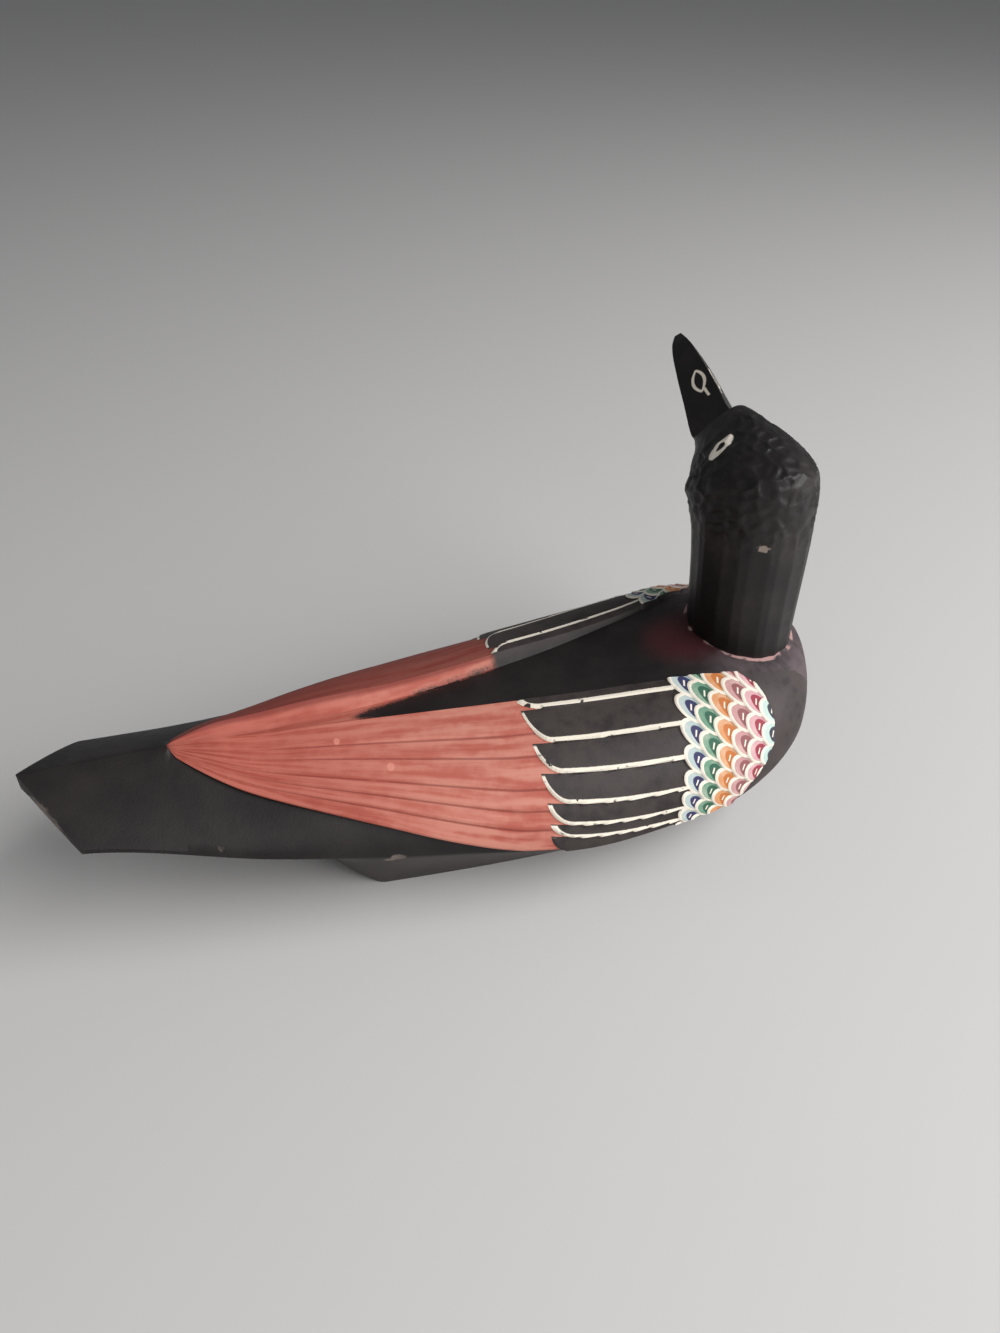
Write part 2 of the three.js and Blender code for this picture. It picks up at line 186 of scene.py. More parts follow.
def profile(points):
    """A smooth curve through (x, value) pairs that never overshoots them."""
    places = np.array([point[0] for point in points], float)
    values = np.array([point[1] for point in points], float)
    widths = np.diff(places)
    slopes = np.diff(values) / widths
    before = np.concatenate((slopes[:1], slopes))
    after = np.concatenate((slopes, slopes[-1:]))
    product = before * after
    total = np.where(before + after == 0, 1, before + after)
    tangents = np.where(product > 0, 2 * product / total, 0)

    def at(x):
        x = np.clip(x, places[0], places[-1])
        i = np.clip(np.searchsorted(places, x) - 1, 0, len(places) - 2)
        width = widths[i]
        t = (x - places[i]) / width
        ease = t * t * (3 - 2 * t)
        leave = t * (1 - t) ** 2 * width * tangents[i]
        arrive = t * t * (t - 1) * width * tangents[i + 1]
        return values[i] + (values[i + 1] - values[i]) * ease + leave + arrive

    return at


# Profiles along the body, the same as the solid part's
BACK_Z = profile([
    (LOFT_START_X, 71.5), (WING_TIP_X, 70.5), (-100, 66.5), (-50, 65.5), (0, 67), (40, 71), (66, 74.6),
])
CHINE_Y = profile([(LOFT_START_X, 27), (TAIL_CORNER_X, 28.3), (-109, 40), (-49, 49.5), (10, 55), (66, 54)])
CHINE_Z = profile([
    (LOFT_START_X, 59.5), (TAIL_CORNER_X, 57.5), (-109, 45), (-49, 36), (10, 28.5),
    (56, 32.5), (74, 39.5), (90, 45.5), (BREAST_X, BREAST_MID_Z),
])
CHINE_EDGE = profile([(LOFT_START_X, 2), (-109, 1.4), (-49, 0.6), (10, 0.4)])
BASE_Z = profile([
    (LOFT_START_X, 66.5), (-150, 53), (-120, 41), (-95, 22), (-80, 6), (-BASE_HALF_LENGTH, 0), (BREAST_X, 0),
])
BASE_Y = profile([(LOFT_START_X, 4), (-150, 8), (-110, 15), (-BASE_HALF_LENGTH, 24), (10, 30), (66, 26)])
ROOF_POWER = profile([
    (LOFT_START_X, 1.05), (WING_TIP_X, 1.15), (-73, 1.75), (-14, 2.15), (42, 2.7), (66, 2.7), (BREAST_X, 2.3),
])
FLANK_BULGE = profile([(LOFT_START_X, 0), (30, 0), (66, 1), (BREAST_X, 4)])
CREST_Y = profile([(WING_TIP_X, 0.4), (-103, 5), (-50, 9.5), (RED_END_X, 14), (SCALES_START_X, 22), (72, 29)])
CREST_RISE = profile([
    (WING_TIP_X, 0.6), (-120, 5.2), (-90, 6.6), (-50, 5.6), (RED_END_X, 5), (SCALES_START_X, 1.4), (72, 0.7),
])
EDGE_SHARE = profile([
    (WING_TIP_X, 0.03), (-137, 0.14), (-113, 0.53), (-69, 0.82), (-34, 0.965), (RED_END_X, 1),
])
EDGE_RISE = profile([(WING_TIP_X, 0.3), (-125, 1.5), (SCALES_START_X, 1.5), (72, 0.8)])
PATCH_FRONT_POINTS = [(0, 69), (0.13, 74), (0.45, 76.5), (0.63, 75.7), (0.8, 71), (1, 58)]
PATCH_FRONT_X = profile(PATCH_FRONT_POINTS)

# Slant of the two saw cuts that bring the tail to a point
TAIL_SLANT = math.atan2(TAIL_CORNER_X - TAIL_TIP_X, float(CHINE_Y(TAIL_CORNER_X)))


def lerp(a, b, t):
    return a + (b - a) * t


def smooth(low, high, value):
    t = np.clip((value - low) / (high - low), 0, 1)
    return t * t * (3 - 2 * t)


def section_sizes(x):
    """Sizes of the body's cross-section at x, drawn in to a rounded breast at the front."""
    forward = np.clip((x - BREAST_START_X) / (BREAST_X - BREAST_START_X), 0, 1)
    under = np.clip((x - BASE_HALF_LENGTH) / (BREAST_X - BASE_HALF_LENGTH), 0, 1)
    rounding = math.sqrt(1 - forward**2)
    top_rounding = (1 - forward**BREAST_TOP_POWER) ** (1 / BREAST_TOP_POWER)
    return {
        "back_z": lerp(BREAST_MID_Z, BACK_Z(x), top_rounding),
        "chine_y": CHINE_Y(x) * rounding,
        "chine_z": CHINE_Z(x),
        "edge": CHINE_EDGE(x) * rounding,
        "base_y": BASE_Y(x) * rounding,
        "base_z": lerp(BREAST_MID_Z, BASE_Z(x), math.sqrt(1 - under**2)),
        "bulge": FLANK_BULGE(x) * rounding,
        "power": ROOF_POWER(x),
    }


# Fineness of the back's outline, the steps its normal is taken over, and the least length to divide by
ROOF_STEPS = 240
NORMAL_STEPS = 9
LEAST_LENGTH = 1e-9


def roof_line(sizes):
    """The back's half outline from the middle to the chine: share of its length, y, z and outward normal."""
    angle = np.linspace(0, math.pi / 2, ROOF_STEPS + 1)
    y = sizes["chine_y"] * np.sin(angle) ** (2 / sizes["power"])
    z = lerp(sizes["chine_z"], sizes["back_z"], np.clip(np.cos(angle), 0, 1) ** (2 / sizes["power"]))
    length = np.concatenate(([0], np.cumsum(np.hypot(np.diff(y), np.diff(z)))))
    ahead = np.minimum(np.arange(ROOF_STEPS + 1) + NORMAL_STEPS, ROOF_STEPS)
    behind = np.maximum(np.arange(ROOF_STEPS + 1) - NORMAL_STEPS, 0)
    along_y = y[ahead] - y[behind]
    along_z = z[ahead] - z[behind]
    size = np.maximum(np.hypot(along_y, along_z), LEAST_LENGTH)
    return {
        "share": length / length[-1],
        "length": length[-1],
        "y": y,
        "z": z,
        "ny": -along_z / size,
        "nz": along_y / size,
    }


def on_roof(line, share, rise):
    """Points of the back at shares of the way to the chine, raised along the normal."""
    y = np.interp(share, line["share"], line["y"])
    z = np.interp(share, line["share"], line["z"])
    normal_y = np.interp(share, line["share"], line["ny"])
    normal_z = np.interp(share, line["share"], line["nz"])
    return y + normal_y * rise, z + normal_z * rise


def red_lift(x, v, step):
    """Fluted flight feathers: each rises to its lower edge and drops to the next."""
    fade = smooth(WING_TIP_X, WING_TIP_X + RED_FADE, x)
    edges = np.array(RED_EDGES)
    index = np.clip(np.searchsorted(edges, v, side="right") - 1, 0, len(edges) - 2)
    down = (v - edges[index]) / (edges[index + 1] - edges[index])
    drop = np.clip((edges[index + 1] - v) / RED_LAP, 0, 1)
    return step * fade * down**RED_FLUTE_POWER * drop


def covert_place(x, v, shift):
    """The covert at a point: share down it, its height in millimetres, and 1 at its rounded outline."""
    forward = np.clip((x - RED_END_X) / (SCALES_START_X + shift - RED_END_X), 0, 1)
    level = v / lerp(COVERT_CLOSING, 1, forward)
    index = np.clip(np.searchsorted(COVERT_EDGES, level, side="right") - 1, 0, len(COVERT_EDGES) - 2)
    edges = np.array(COVERT_EDGES)
    height = edges[index + 1] - edges[index]
    down = np.clip((level - edges[index]) / height, 0, 1)
    corner = np.maximum(1 - (x - RED_END_X) / COVERT_ROUND, 0)
    return down, height * WING_ARC, np.hypot(corner, down)


def covert_lift(x, v, step, shift):
    """Black coverts lapped like boards, and how much of the point they cover."""
    down, height, outline = covert_place(x, v, shift)
    cover = np.ones_like(v)
    if x < RED_END_X + COVERT_ROUND:
        cover = np.clip((1 - outline) * height / COVERT_SOFTNESS, 0, 1)
    return lerp(COVERT_TOP_LIFT, step, down), cover


def scale_lattice(x, v, root):
    """Column and row of the scale lattice at a point, in numbers or in paint fields with their own root."""
    even = v / (1 + SCALE_ROW_SPREAD * (x - SCALES_START_X))
    column = (x - SCALE_FIRST_X - SCALE_SLANT_X * even) / SCALE_PITCH_X
    under_root = SCALE_ROW_PITCH**2 - 4 * SCALE_ROW_CLOSING * (even - SCALE_FIRST_ROW)
    return column, (SCALE_ROW_PITCH - root(under_root)) / (2 * SCALE_ROW_CLOSING)


def scale_lift(x, v, base, step):
    """Scale feathers laid over each other from rear to front and from below to above."""
    column, row = scale_lattice(x, v, lambda value: np.sqrt(np.maximum(value, 0)))
    lift = np.where(column > 0, SCALE_LAPPED_LIFT, base)
    for number in range(SCALE_COLUMNS):
        along = (column - number) / SCALE_HALF_COLUMNS
        stagger = (number % 2) / 2
        for count in range(SCALE_ROWS, -2, -1):
            across = (row - count - stagger) / SCALE_HALF_ROWS - SCALE_SHEAR * along
            free = np.clip(0.5 + SCALE_DROOP * across - 0.5 * along, 0, 1)
            cover = smooth(1 + SCALE_SOFTNESS, 1 - SCALE_SOFTNESS, np.hypot(along, across))
            lift = lerp(lift, lerp(SCALE_LAPPED_LIFT, step, free), cover)
    return lift


def wing_lift(x, v, carving, shift):
    """Height of the feathers over the plain wing, its scale patch shifted forward."""
    lift = red_lift(x, v, carving.red_step / MM) if x < RED_END_X + COVERT_ROUND else np.zeros_like(v)
    if x > RED_END_X:
        covert, cover = covert_lift(x, v, carving.covert_step / MM, shift)
        lift = lerp(lift, covert, cover)
    if x - shift > SCALES_START_X - SCALE_REACH:
        lift = scale_lift(x - shift, v, lift, carving.scale_step / MM)
    return lift


# How many columns of faces each zone of the half section gets
ZONE_COLUMNS = {"back": 14, "inner": 5, "wing": 84, "step": 2, "roof": 8, "flank": 10, "base": 3}

# The wing's crest and lower edge as shares of the way to the chine on the tail, where no wing stands
TAIL_BLEND = 20
TAIL_CREST_SHARE = 0.1
TAIL_EDGE_SHARE = 0.8
LARGEST_EDGE_SHARE = 0.985

# Softness of the wing's tip and of the patch's front in millimetres
WING_TIP_SOFTNESS = 2
PATCH_FRONT_SOFTNESS = 0.7

# The inner face leans out to its foot and hollows; the step below the wing takes a small share of the outline
INNER_FACE_LEAN = 0.45
LEAST_FOOT_SHARE = 0.3
INNER_FACE_POWER = 1.15
STEP_SHARE = 0.004


def half_section(x, carving, shift):
    """Half of the carved section at x, from the middle of the back round to the middle of the underside."""
    sizes = section_sizes(x)
    line = roof_line(sizes)
    to_tail = np.clip((WING_TIP_X - x) / TAIL_BLEND, 0, 1)
    crest = lerp(np.interp(CREST_Y(x), line["y"], line["share"]), TAIL_CREST_SHARE, to_tail)
    edge = lerp(min(EDGE_SHARE(x), LARGEST_EDGE_SHARE), TAIL_EDGE_SHARE, to_tail)
    wing_here = smooth(WING_TIP_X - WING_TIP_SOFTNESS, WING_TIP_X + WING_TIP_SOFTNESS, x)

    v = np.linspace(0, 1, ZONE_COLUMNS["wing"] + 1)
    front = smooth(PATCH_FRONT_SOFTNESS, -PATCH_FRONT_SOFTNESS, x - shift - PATCH_FRONT_X(v))
    rise = (lerp(CREST_RISE(x), EDGE_RISE(x), v) + wing_lift(x, v, carving, shift)) * wing_here * front
    wing_y, wing_z = on_roof(line, lerp(crest, edge, v), rise)

    foot = max(crest - INNER_FACE_LEAN * rise[0] / line["length"], LEAST_FOOT_SHARE * crest)
    back_share = np.linspace(0, foot, ZONE_COLUMNS["back"] + 1)
    back_y, back_z = on_roof(line, back_share, 0)
    climb = np.linspace(0, 1, ZONE_COLUMNS["inner"] + 1)[1:-1]
    inner_y = lerp(back_y[-1], wing_y[0], climb)
    inner_z = lerp(back_z[-1], wing_z[0], climb**INNER_FACE_POWER)

    below = min(edge + STEP_SHARE, 1)
    below_y, below_z = on_roof(line, below, 0)
    drop = np.linspace(0, 1, ZONE_COLUMNS["step"] + 1)[1:]
    step_y = lerp(wing_y[-1], below_y, drop)
    step_z = lerp(wing_z[-1], below_z, drop)
    rest = np.linspace(below, 1, ZONE_COLUMNS["roof"] + 1)[1:]
    roof_y, roof_z = on_roof(line, rest, 0)

    flank_y, flank_z = sizes["chine_y"], sizes["chine_z"] - sizes["edge"]
    middle_y = (flank_y + sizes["base_y"]) / 2 + sizes["bulge"]
    middle_z = (flank_z + sizes["base_z"]) / 2 - sizes["bulge"]
    t = np.linspace(0, 1, ZONE_COLUMNS["flank"] + 1)
    side_y = (1 - t) ** 2 * flank_y + 2 * t * (1 - t) * middle_y + t**2 * sizes["base_y"]
    side_z = (1 - t) ** 2 * flank_z + 2 * t * (1 - t) * middle_z + t**2 * sizes["base_z"]
    base_y = np.linspace(sizes["base_y"], 0, ZONE_COLUMNS["base"] + 1)[1:]
    base_z = np.full_like(base_y, sizes["base_z"])

    y = np.concatenate((back_y, inner_y, wing_y, step_y, roof_y, side_y, base_y))
    z = np.concatenate((back_z, inner_z, wing_z, step_z, roof_z, side_z, base_z))
    marks = np.concatenate((
        np.linspace(BACK_MIDDLE_V, CREST_FOOT_V, len(back_y)),
        lerp(CREST_FOOT_V, 0, climb),
        v,
        np.linspace(1, STEP_END_V, len(step_y) + 1)[1:],
        np.linspace(STEP_END_V, ROOF_END_V, len(roof_y) + 1)[1:],
        np.linspace(FLANK_START_V, UNDER_END_V, len(side_y) + len(base_y)),
    ))
    return y, z, marks


# Runs of sections along the body, each with its start, end and count, and those round the breast
ROUND_BREAST_X = 90
STATION_RUNS = (
    (LOFT_START_X, -146, 22), (-146, -132, 14), (-132, RED_END_X - 2, 76), (RED_END_X - 2, -5, 26),
    (-5, 30, 24), (30, ROUND_BREAST_X, 120),
)
BREAST_STATIONS = 20
BREAST_END = 0.985


def body_stations():
    """Places of the sections along the body, closest where the carving is finest."""
    places = [np.linspace(start, end, count, endpoint=False) for start, end, count in STATION_RUNS]
    first = math.asin((ROUND_BREAST_X - BREAST_START_X) / (BREAST_X - BREAST_START_X)) / (math.pi / 2)
    turn = np.linspace(first, BREAST_END, BREAST_STATIONS)
    places.append(lerp(BREAST_START_X, BREAST_X, np.sin(turn * math.pi / 2)))
    return np.concatenate(places)


def grid_sheet(columns, rows, kind, mark):
    """A flat sheet of faces with one named mark on each vertex, and its vertices by row and column."""
    sheet = bmesh.new()
    layer = getattr(sheet.verts.layers, kind).new(mark)
    bmesh.ops.create_grid(sheet, x_segments=columns, y_segments=rows, size=1)
    order = {}
    for vert in sheet.verts:
        i = round((vert.co.x + 1) / 2 * columns)
        j = round((vert.co.y + 1) / 2 * rows)
        order[j, i] = vert
    return sheet, layer, order


def close_holes(shape):
    boundary = [edge for edge in shape.edges if edge.is_boundary]
    bmesh.ops.holes_fill(shape, edges=boundary, sides=0)


def saw(shape, place, outward):
    """Cuts off what lies beyond a plane and closes the cut."""
    whole = shape.verts[:] + shape.edges[:] + shape.faces[:]
    bmesh.ops.bisect_plane(
        shape, geom=whole, dist=MERGE_DISTANCE, plane_co=place, plane_no=outward, clear_outer=True
    )
    close_holes(shape)


def finish_piece(shape, name, material, node):
    """Turns a finished shape into a piece that stands for a solid and rides with the root."""
    bmesh.ops.recalc_face_normals(shape, faces=shape.faces)
    for face in shape.faces:
        face.smooth = True
    mesh = bpy.data.meshes.new(name)
    shape.to_mesh(mesh)
    shape.free()
    mesh.set_sharp_from_angle(angle=math.radians(SHARP_DEG))
    mesh.materials.append(material)
    piece = bpy.data.objects.new(name, mesh)
    bpy.context.scene.collection.objects.link(piece)
    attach(piece, "root")
    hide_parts(node)


def carve_body(carving):
    """The body with its feathers as one closed shape, with its tail sawn to a point."""
    stations = body_stations()
    lefts = [half_section(x, carving, LEFT_PATCH_SHIFT) for x in stations]
    rights = [half_section(x, carving, 0) for x in stations]
    middle = len(rights[0][0]) - 1
    shape, wing_v, order = grid_sheet(2 * middle, len(stations) - 1, "float", "wing_v")
    for (j, i), vert in order.items():
        side = 1 if i > middle else -1
        y, z, marks = lefts[j] if side > 0 else rights[j]
        k = abs(i - middle)
        vert.co = (stations[j] * MM, side * y[k] * MM, z[k] * MM)
        vert[wing_v] = marks[k]
    bmesh.ops.remove_doubles(shape, verts=shape.verts, dist=MERGE_DISTANCE)
    close_holes(shape)
    for side in (-1, 1):
        saw(shape, (TAIL_TIP_X * MM, 0, 0), (-math.cos(TAIL_SLANT), side * math.sin(TAIL_SLANT), 0))
    return shape


# Rings of the neck and head: nape point, throat point, half width, wedge, and shift to the head's right
SKULL_RINGS = (
    ((-23, 62), (22, 62), 19.4, 0, 0),
    ((-23, 92), (22, 92), 20.7, 0, 0),
    ((-23.5, 118), (22.5, 113), 22, 0.04, 0),
    ((-23.5, 138), (25.5, 118), 22.8, 0.09, 0),
    ((-22, 148.5), (29, 122), 23, 0.14, 0),
    ((-9, 153), (31.5, 125.5), 20.4, 0.05, 0.7),
    ((4, 155), (34, 128), 17, 0.1, 1.4),
    ((16, 156.5), (35.5, 130), 13, 0.3, 1.8),
    ((25, 155.5), (36.5, 131.5), 11.6, 0.4, 2.2),
)
# Sections of the beak: place along it, half width, ridge and floor from its axis, and shift to the right
BEAK_RAISE = math.radians(32)
BEAK_ROOT_Z = 118
BEAK_WEDGE = 0.4
BEAK_SECTIONS = (
    (44, 11.2, 12, 7.5, 1.9), (57, 9.4, 10, 6, 1.2), (70, 7.6, 8, 4.5, 0.5), (84, 4.3, 4, 2.4, -0.4),
    (88, 2, 1.4, 1, -0.4),
)
# The flat-sided beak as turns from floor to ridge, with shares of the half width and of the way up
BEAK_TURNS = (0, 0.18, 0.42, 0.72, 1)
BEAK_WIDTHS = (0, 0.5, 1, 0.55, 0)
BEAK_RISES = (0, 0, 0.25, 0.6, 1)


def head_rings():
    """All rings from foot to beak tip; the last value is how far a ring takes on the flat-sided outline."""
    rings = [(*nape, *throat, width, wedge, shift, 0) for nape, throat, width, wedge, shift in SKULL_RINGS]
    for along, half, ridge, floor, shift in BEAK_SECTIONS:
        f = along * math.cos(BEAK_RAISE)
        z = BEAK_ROOT_Z + along * math.sin(BEAK_RAISE)
        up_f, up_z = -math.sin(BEAK_RAISE), math.cos(BEAK_RAISE)
        top = (f + ridge * up_f, z + ridge * up_z)
        bottom = (f - floor * up_f, z - floor * up_z)
        rings.append((*top, *bottom, half, BEAK_WEDGE, shift, 1))
    return np.array(rings)


def head_place():
    """From the head's own frame to the bird's."""
    return (
        Matrix.Translation((NECK_X, 0, SEAT_Z))
        @ Matrix.Rotation(math.radians(-NECK_LEAN_DEG), 4, "Y")
        @ Matrix.Rotation(math.radians(HEAD_TURN_DEG), 4, "Z")
        @ Matrix.Translation((0, 0, -SEAT_Z))
    )


# Knife facets round the neck: their count, corners as shares of the width, and sways of their bounds
KNIFE_FACETS = 24
FACET_SHARES = (0.04, 0.22, 0.41, 0.59, 0.78, 0.96)
FACET_FLATNESS = 1.35
FACET_SWAYS = ((0.22, 2.4), (0.15, 5.1))
FACETS_END_Z = (118, 138)

# Knife hollows on the head: where they fade in and out, their pitch, and the width of the rims between them
HOLLOWS_START_Z = (112, 132)
HOLLOWS_END_F = (16, 26)
HOLLOW_PITCH = 5.2
HOLLOW_RIM = 0.4

# Rows of faces from the neck's foot to the beak's tip, and the least distance counted between two rings
HEAD_LEVELS = 210
LEAST_RING_STEP = 3


def knife_angles():
    """Angles round the neck, in flat facets of uneven width."""
    bounds = []
    for facet in range(KNIFE_FACETS + 1):
        sway = 0
        if 0 < facet < KNIFE_FACETS:
            sway = sum(size * math.sin(facet * rate) for size, rate in FACET_SWAYS)
        bounds.append((facet + sway) / KNIFE_FACETS * 2 * math.pi)
    return bounds


def ring_point(ring, angle):
    """The point of a ring at an angle from the throat."""
    nape_f, nape_z, throat_f, throat_z, width, wedge, shift, beak = ring
    to_nape = (1 - math.cos(angle)) / 2
    sideways = width * math.sin(angle) * (1 + wedge * math.cos(angle))
    turn = math.acos(math.cos(angle)) / math.pi
    flat_side = math.copysign(width * np.interp(turn, BEAK_TURNS, BEAK_WIDTHS), math.sin(angle))
    to_nape = lerp(to_nape, np.interp(turn, BEAK_TURNS, BEAK_RISES), beak)
    sideways = lerp(sideways, flat_side, beak) - shift
    return Vector((lerp(throat_f, nape_f, to_nape), sideways, lerp(throat_z, nape_z, to_nape)))


def carve_head(carving):
    """Neck, head and beak as one closed shape with long knife facets and small hollows on the head."""
    rings = head_rings()
    steps = np.hypot(np.diff(rings[:, 0]), np.diff(rings[:, 1]))
    place = np.concatenate(([0], np.cumsum(np.maximum(steps, LEAST_RING_STEP))))
    curves = [profile(list(zip(place, rings[:, i]))) for i in range(rings.shape[1])]
    levels = np.linspace(0, place[-1], HEAD_LEVELS + 1)
    bounds = knife_angles()
    corners = []
    for start, end in zip(bounds, bounds[1:]):
        corners.extend((start, end, share) for share in FACET_SHARES)
    shape, head_frame, order = grid_sheet(len(corners), HEAD_LEVELS, "float_vector", "head_frame")
    to_bird = head_place()
    hollow = carving.knife_depth / MM
    for (j, i), vert in order.items():
        ring = [curve(levels[j]) for curve in curves]
        start, end, share = corners[i % len(corners)]
        flat = ring_point(ring, start).lerp(ring_point(ring, end), share)
        round_point = ring_point(ring, lerp(start, end, share))
        on_neck = 1 - smooth(*FACETS_END_Z, flat.z)
        point = round_point.lerp(flat, on_neck * FACET_FLATNESS)
        centre = (ring_point(ring, 0) + ring_point(ring, math.pi)) / 2
        outward = (point - centre).normalized()
        on_head = smooth(*HOLLOWS_START_Z, point.z) * (1 - smooth(*HOLLOWS_END_F, point.x))
        distances, _ = noise.voronoi(round_point / HOLLOW_PITCH)
        point = point - outward * hollow * on_head * min((distances[1] - distances[0]) / HOLLOW_RIM, 1)
        vert[head_frame] = point
        vert.co = (to_bird @ point) * MM
    bmesh.ops.remove_doubles(shape, verts=shape.verts, dist=MERGE_DISTANCE)
    close_holes(shape)
    saw(shape, (0, 0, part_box("neck_and_head")[0].z), (0, 0, -1))
    return shape


class Field:
    """A number that varies over a painted surface, as a socket of a material's nodes."""

    def __init__(self, brush, socket):
        self.brush = brush
        self.socket = socket

    def __add__(self, other):
        return self.brush.math("ADD", self, other)

    def __sub__(self, other):
        return self.brush.math("SUBTRACT", self, other)

    def __rsub__(self, other):
        return self.brush.math("SUBTRACT", other, self)

    def __mul__(self, other):
        return self.brush.math("MULTIPLY", self, other)

    def __truediv__(self, other):
        return self.brush.math("DIVIDE", self, other)

    def __rtruediv__(self, other):
        return self.brush.math("DIVIDE", other, self)

    def __gt__(self, limit):
        return self.brush.math("GREATER_THAN", self, limit)

    def __lt__(self, limit):
        return self.brush.math("LESS_THAN", self, limit)

    def __abs__(self):
        return self.brush.math("ABSOLUTE", self)

    __radd__ = __add__
    __rmul__ = __mul__

    def fade(self, limits):
        """0 at the first limit, 1 at the second and eased between; the first may be the larger."""
        turned = limits[0] > limits[1]
        inputs = {
            "Value": self,
            "From Min": min(limits),
            "From Max": max(limits),
            "To Min": 1 if turned else 0,
            "To Max": 0 if turned else 1,
        }
        node = self.brush.node("ShaderNodeMapRange", inputs, interpolation_type="SMOOTHSTEP")
        return Field(self.brush, node.outputs["Result"])

    def edge(self, limits, ragged):
        """A painted edge, whose third value is how ragged the grain makes it."""
        start, full, raggedness = limits
        return (self + ragged * raggedness).fade((start, full))


class Brush:
    """Builds a material's pattern from fields."""

    def __init__(self, name):
        self.material = bpy.data.materials.new(name)
        self.material.use_nodes = True
        self.nodes = self.material.node_tree.nodes
        self.links = self.material.node_tree.links
        self.shader = self.nodes["Principled BSDF"]

    def put(self, value, socket):
        if isinstance(value, Field):
            self.links.new(value.socket, socket)
        else:
            socket.default_value = value

    def node(self, kind, inputs, **settings):
        """A new node with its settings, and with values or fields on its inputs."""
        node = self.nodes.new(kind)
        for name, value in settings.items():
            setattr(node, name, value)
        for key, value in inputs.items():
            self.put(value, node.inputs[key])
        return node

    def math(self, operation, *values):
        node = self.node("ShaderNodeMath", dict(enumerate(values)), operation=operation)
        return Field(self, node.outputs[0])

    def larger(self, first, second):
        return self.math("MAXIMUM", first, second)

    def distance(self, first, second):
        """How far a point with these two coordinates lies from their origin."""
        return self.math("SQRT", first * first + second * second)

    def clip(self, value):
        return Field(self, self.node("ShaderNodeClamp", {"Value": value}).outputs["Result"])

    def pick(self, share, low, high):
        """A number between low and high."""
        node = self.node("ShaderNodeMix", {0: share, 2: low, 3: high}, data_type="FLOAT")
        return Field(self, node.outputs[0])

    def over(self, share, under, top):
        """A colour laid over another."""
        node = self.node("ShaderNodeMix", {0: share, 6: under, 7: top}, data_type="RGBA")
        return Field(self, node.outputs[2])

    def ramp(self, value, colours):
        """One colour for each whole number."""
        node = self.nodes.new("ShaderNodeValToRGB")
        node.color_ramp.interpolation = "CONSTANT"
        self.put((value + 0.5) / len(colours), node.inputs["Fac"])
        stops = node.color_ramp.elements
        while len(stops) < len(colours):
            stops.new(0.5)
        for i, colour in enumerate(colours):
            stops[i].position = i / len(colours)
            stops[i].color = colour
        return Field(self, node.outputs["Color"])

    def split(self, vector):
        node = self.node("ShaderNodeSeparateXYZ", {0: vector})
        return [Field(self, output) for output in node.outputs]

    def join(self, x, y, z):
        return Field(self, self.node("ShaderNodeCombineXYZ", {0: x, 1: y, 2: z}).outputs[0])

    def place(self):
        """x, y and z on the piece in millimetres."""
        coordinates = self.node("ShaderNodeTexCoord", {})
        return [part / MM for part in self.split(Field(self, coordinates.outputs["Object"]))]

    def attribute(self, name, output):
        node = self.node("ShaderNodeAttribute", {}, attribute_name=name)
        return Field(self, node.outputs[output])

    def grain(self, vector, scale, detail=3):
        """Smooth noise about 0.5 on the given coordinates."""
        node = self.node("ShaderNodeTexNoise", {"Vector": vector, "Scale": scale, "Detail": detail})
        return Field(self, node.outputs["Fac"])

    def bump(self, height, strength, distance):
        node = self.node("ShaderNodeBump", {"Strength": strength, "Distance": distance, "Height": height})
        self.links.new(node.outputs["Normal"], self.shader.inputs["Normal"])

    def coat(self, colour, roughness, shine):
        self.put(colour, self.shader.inputs["Base Color"])
        self.put(roughness, self.shader.inputs["Roughness"])
        self.put(shine, self.shader.inputs["Specular IOR Level"])


def covert_fields(brush, x, v, shift):
    """Level on the wing, and the covert there: share down it, height and rounded outline, as carved."""
    forward = brush.clip((x - RED_END_X) / (shift + (SCALES_START_X - RED_END_X)))
    level = v / brush.pick(forward, COVERT_CLOSING, 1)
    count = 0
    height = 0
    for top, bottom in zip(COVERT_EDGES, COVERT_EDGES[1:]):
        span = bottom - top
        count = brush.clip((level - top) / span) + count
        height = brush.pick(level > top, height, span * WING_ARC)
    down = brush.math("FRACT", count)
    corner = brush.larger(1 - (x - RED_END_X) / COVERT_ROUND, 0)
    return level, down, height, brush.distance(corner, down)


def scale_fields(brush, x, v):
    """The scale feather on top at a point: its column, and along and across it; and the lattice column."""
    column, row = scale_lattice(x, v, lambda value: brush.math("SQRT", brush.larger(value, 0)))
    rear = brush.math("FLOOR", column)
    top = {"column": -1, "along": 2, "across": 0, "inside": 0}
    for ahead in (0, 1):
        number = rear + ahead
        stagger = brush.math("FLOORED_MODULO", number, 2) / 2
        along = (column - number) / SCALE_HALF_COLUMNS
        sheared = row - stagger - SCALE_SHEAR * SCALE_HALF_ROWS * along
        upper = brush.math("CEIL", sheared - SCALE_HALF_ROWS)
        for below in (1, 0):
            across = (sheared - upper - below) / SCALE_HALF_ROWS
            allowed = brush.distance(along, across) < 1
            allowed = allowed * (number > -0.5) * (number < SCALE_COLUMNS - 0.5)
            top["column"] = brush.pick(allowed, top["column"], number)
            top["along"] = brush.pick(allowed, top["along"], along)
            top["across"] = brush.pick(allowed, top["across"], across)
            top["inside"] = brush.larger(allowed, top["inside"])
    return top, column


def patch_front_field(brush, v):
    """How far forward the scale patch reaches, through the same points as the carving."""
    front = PATCH_FRONT_POINTS[0][1]
    for (v0, x0), (v1, x1) in zip(PATCH_FRONT_POINTS, PATCH_FRONT_POINTS[1:]):
        front = brush.clip((v - v0) / (v1 - v0)) * (x1 - x0) + front
    return front


# Fades in the paint give where they start and where they are full; painted edges add how ragged they are

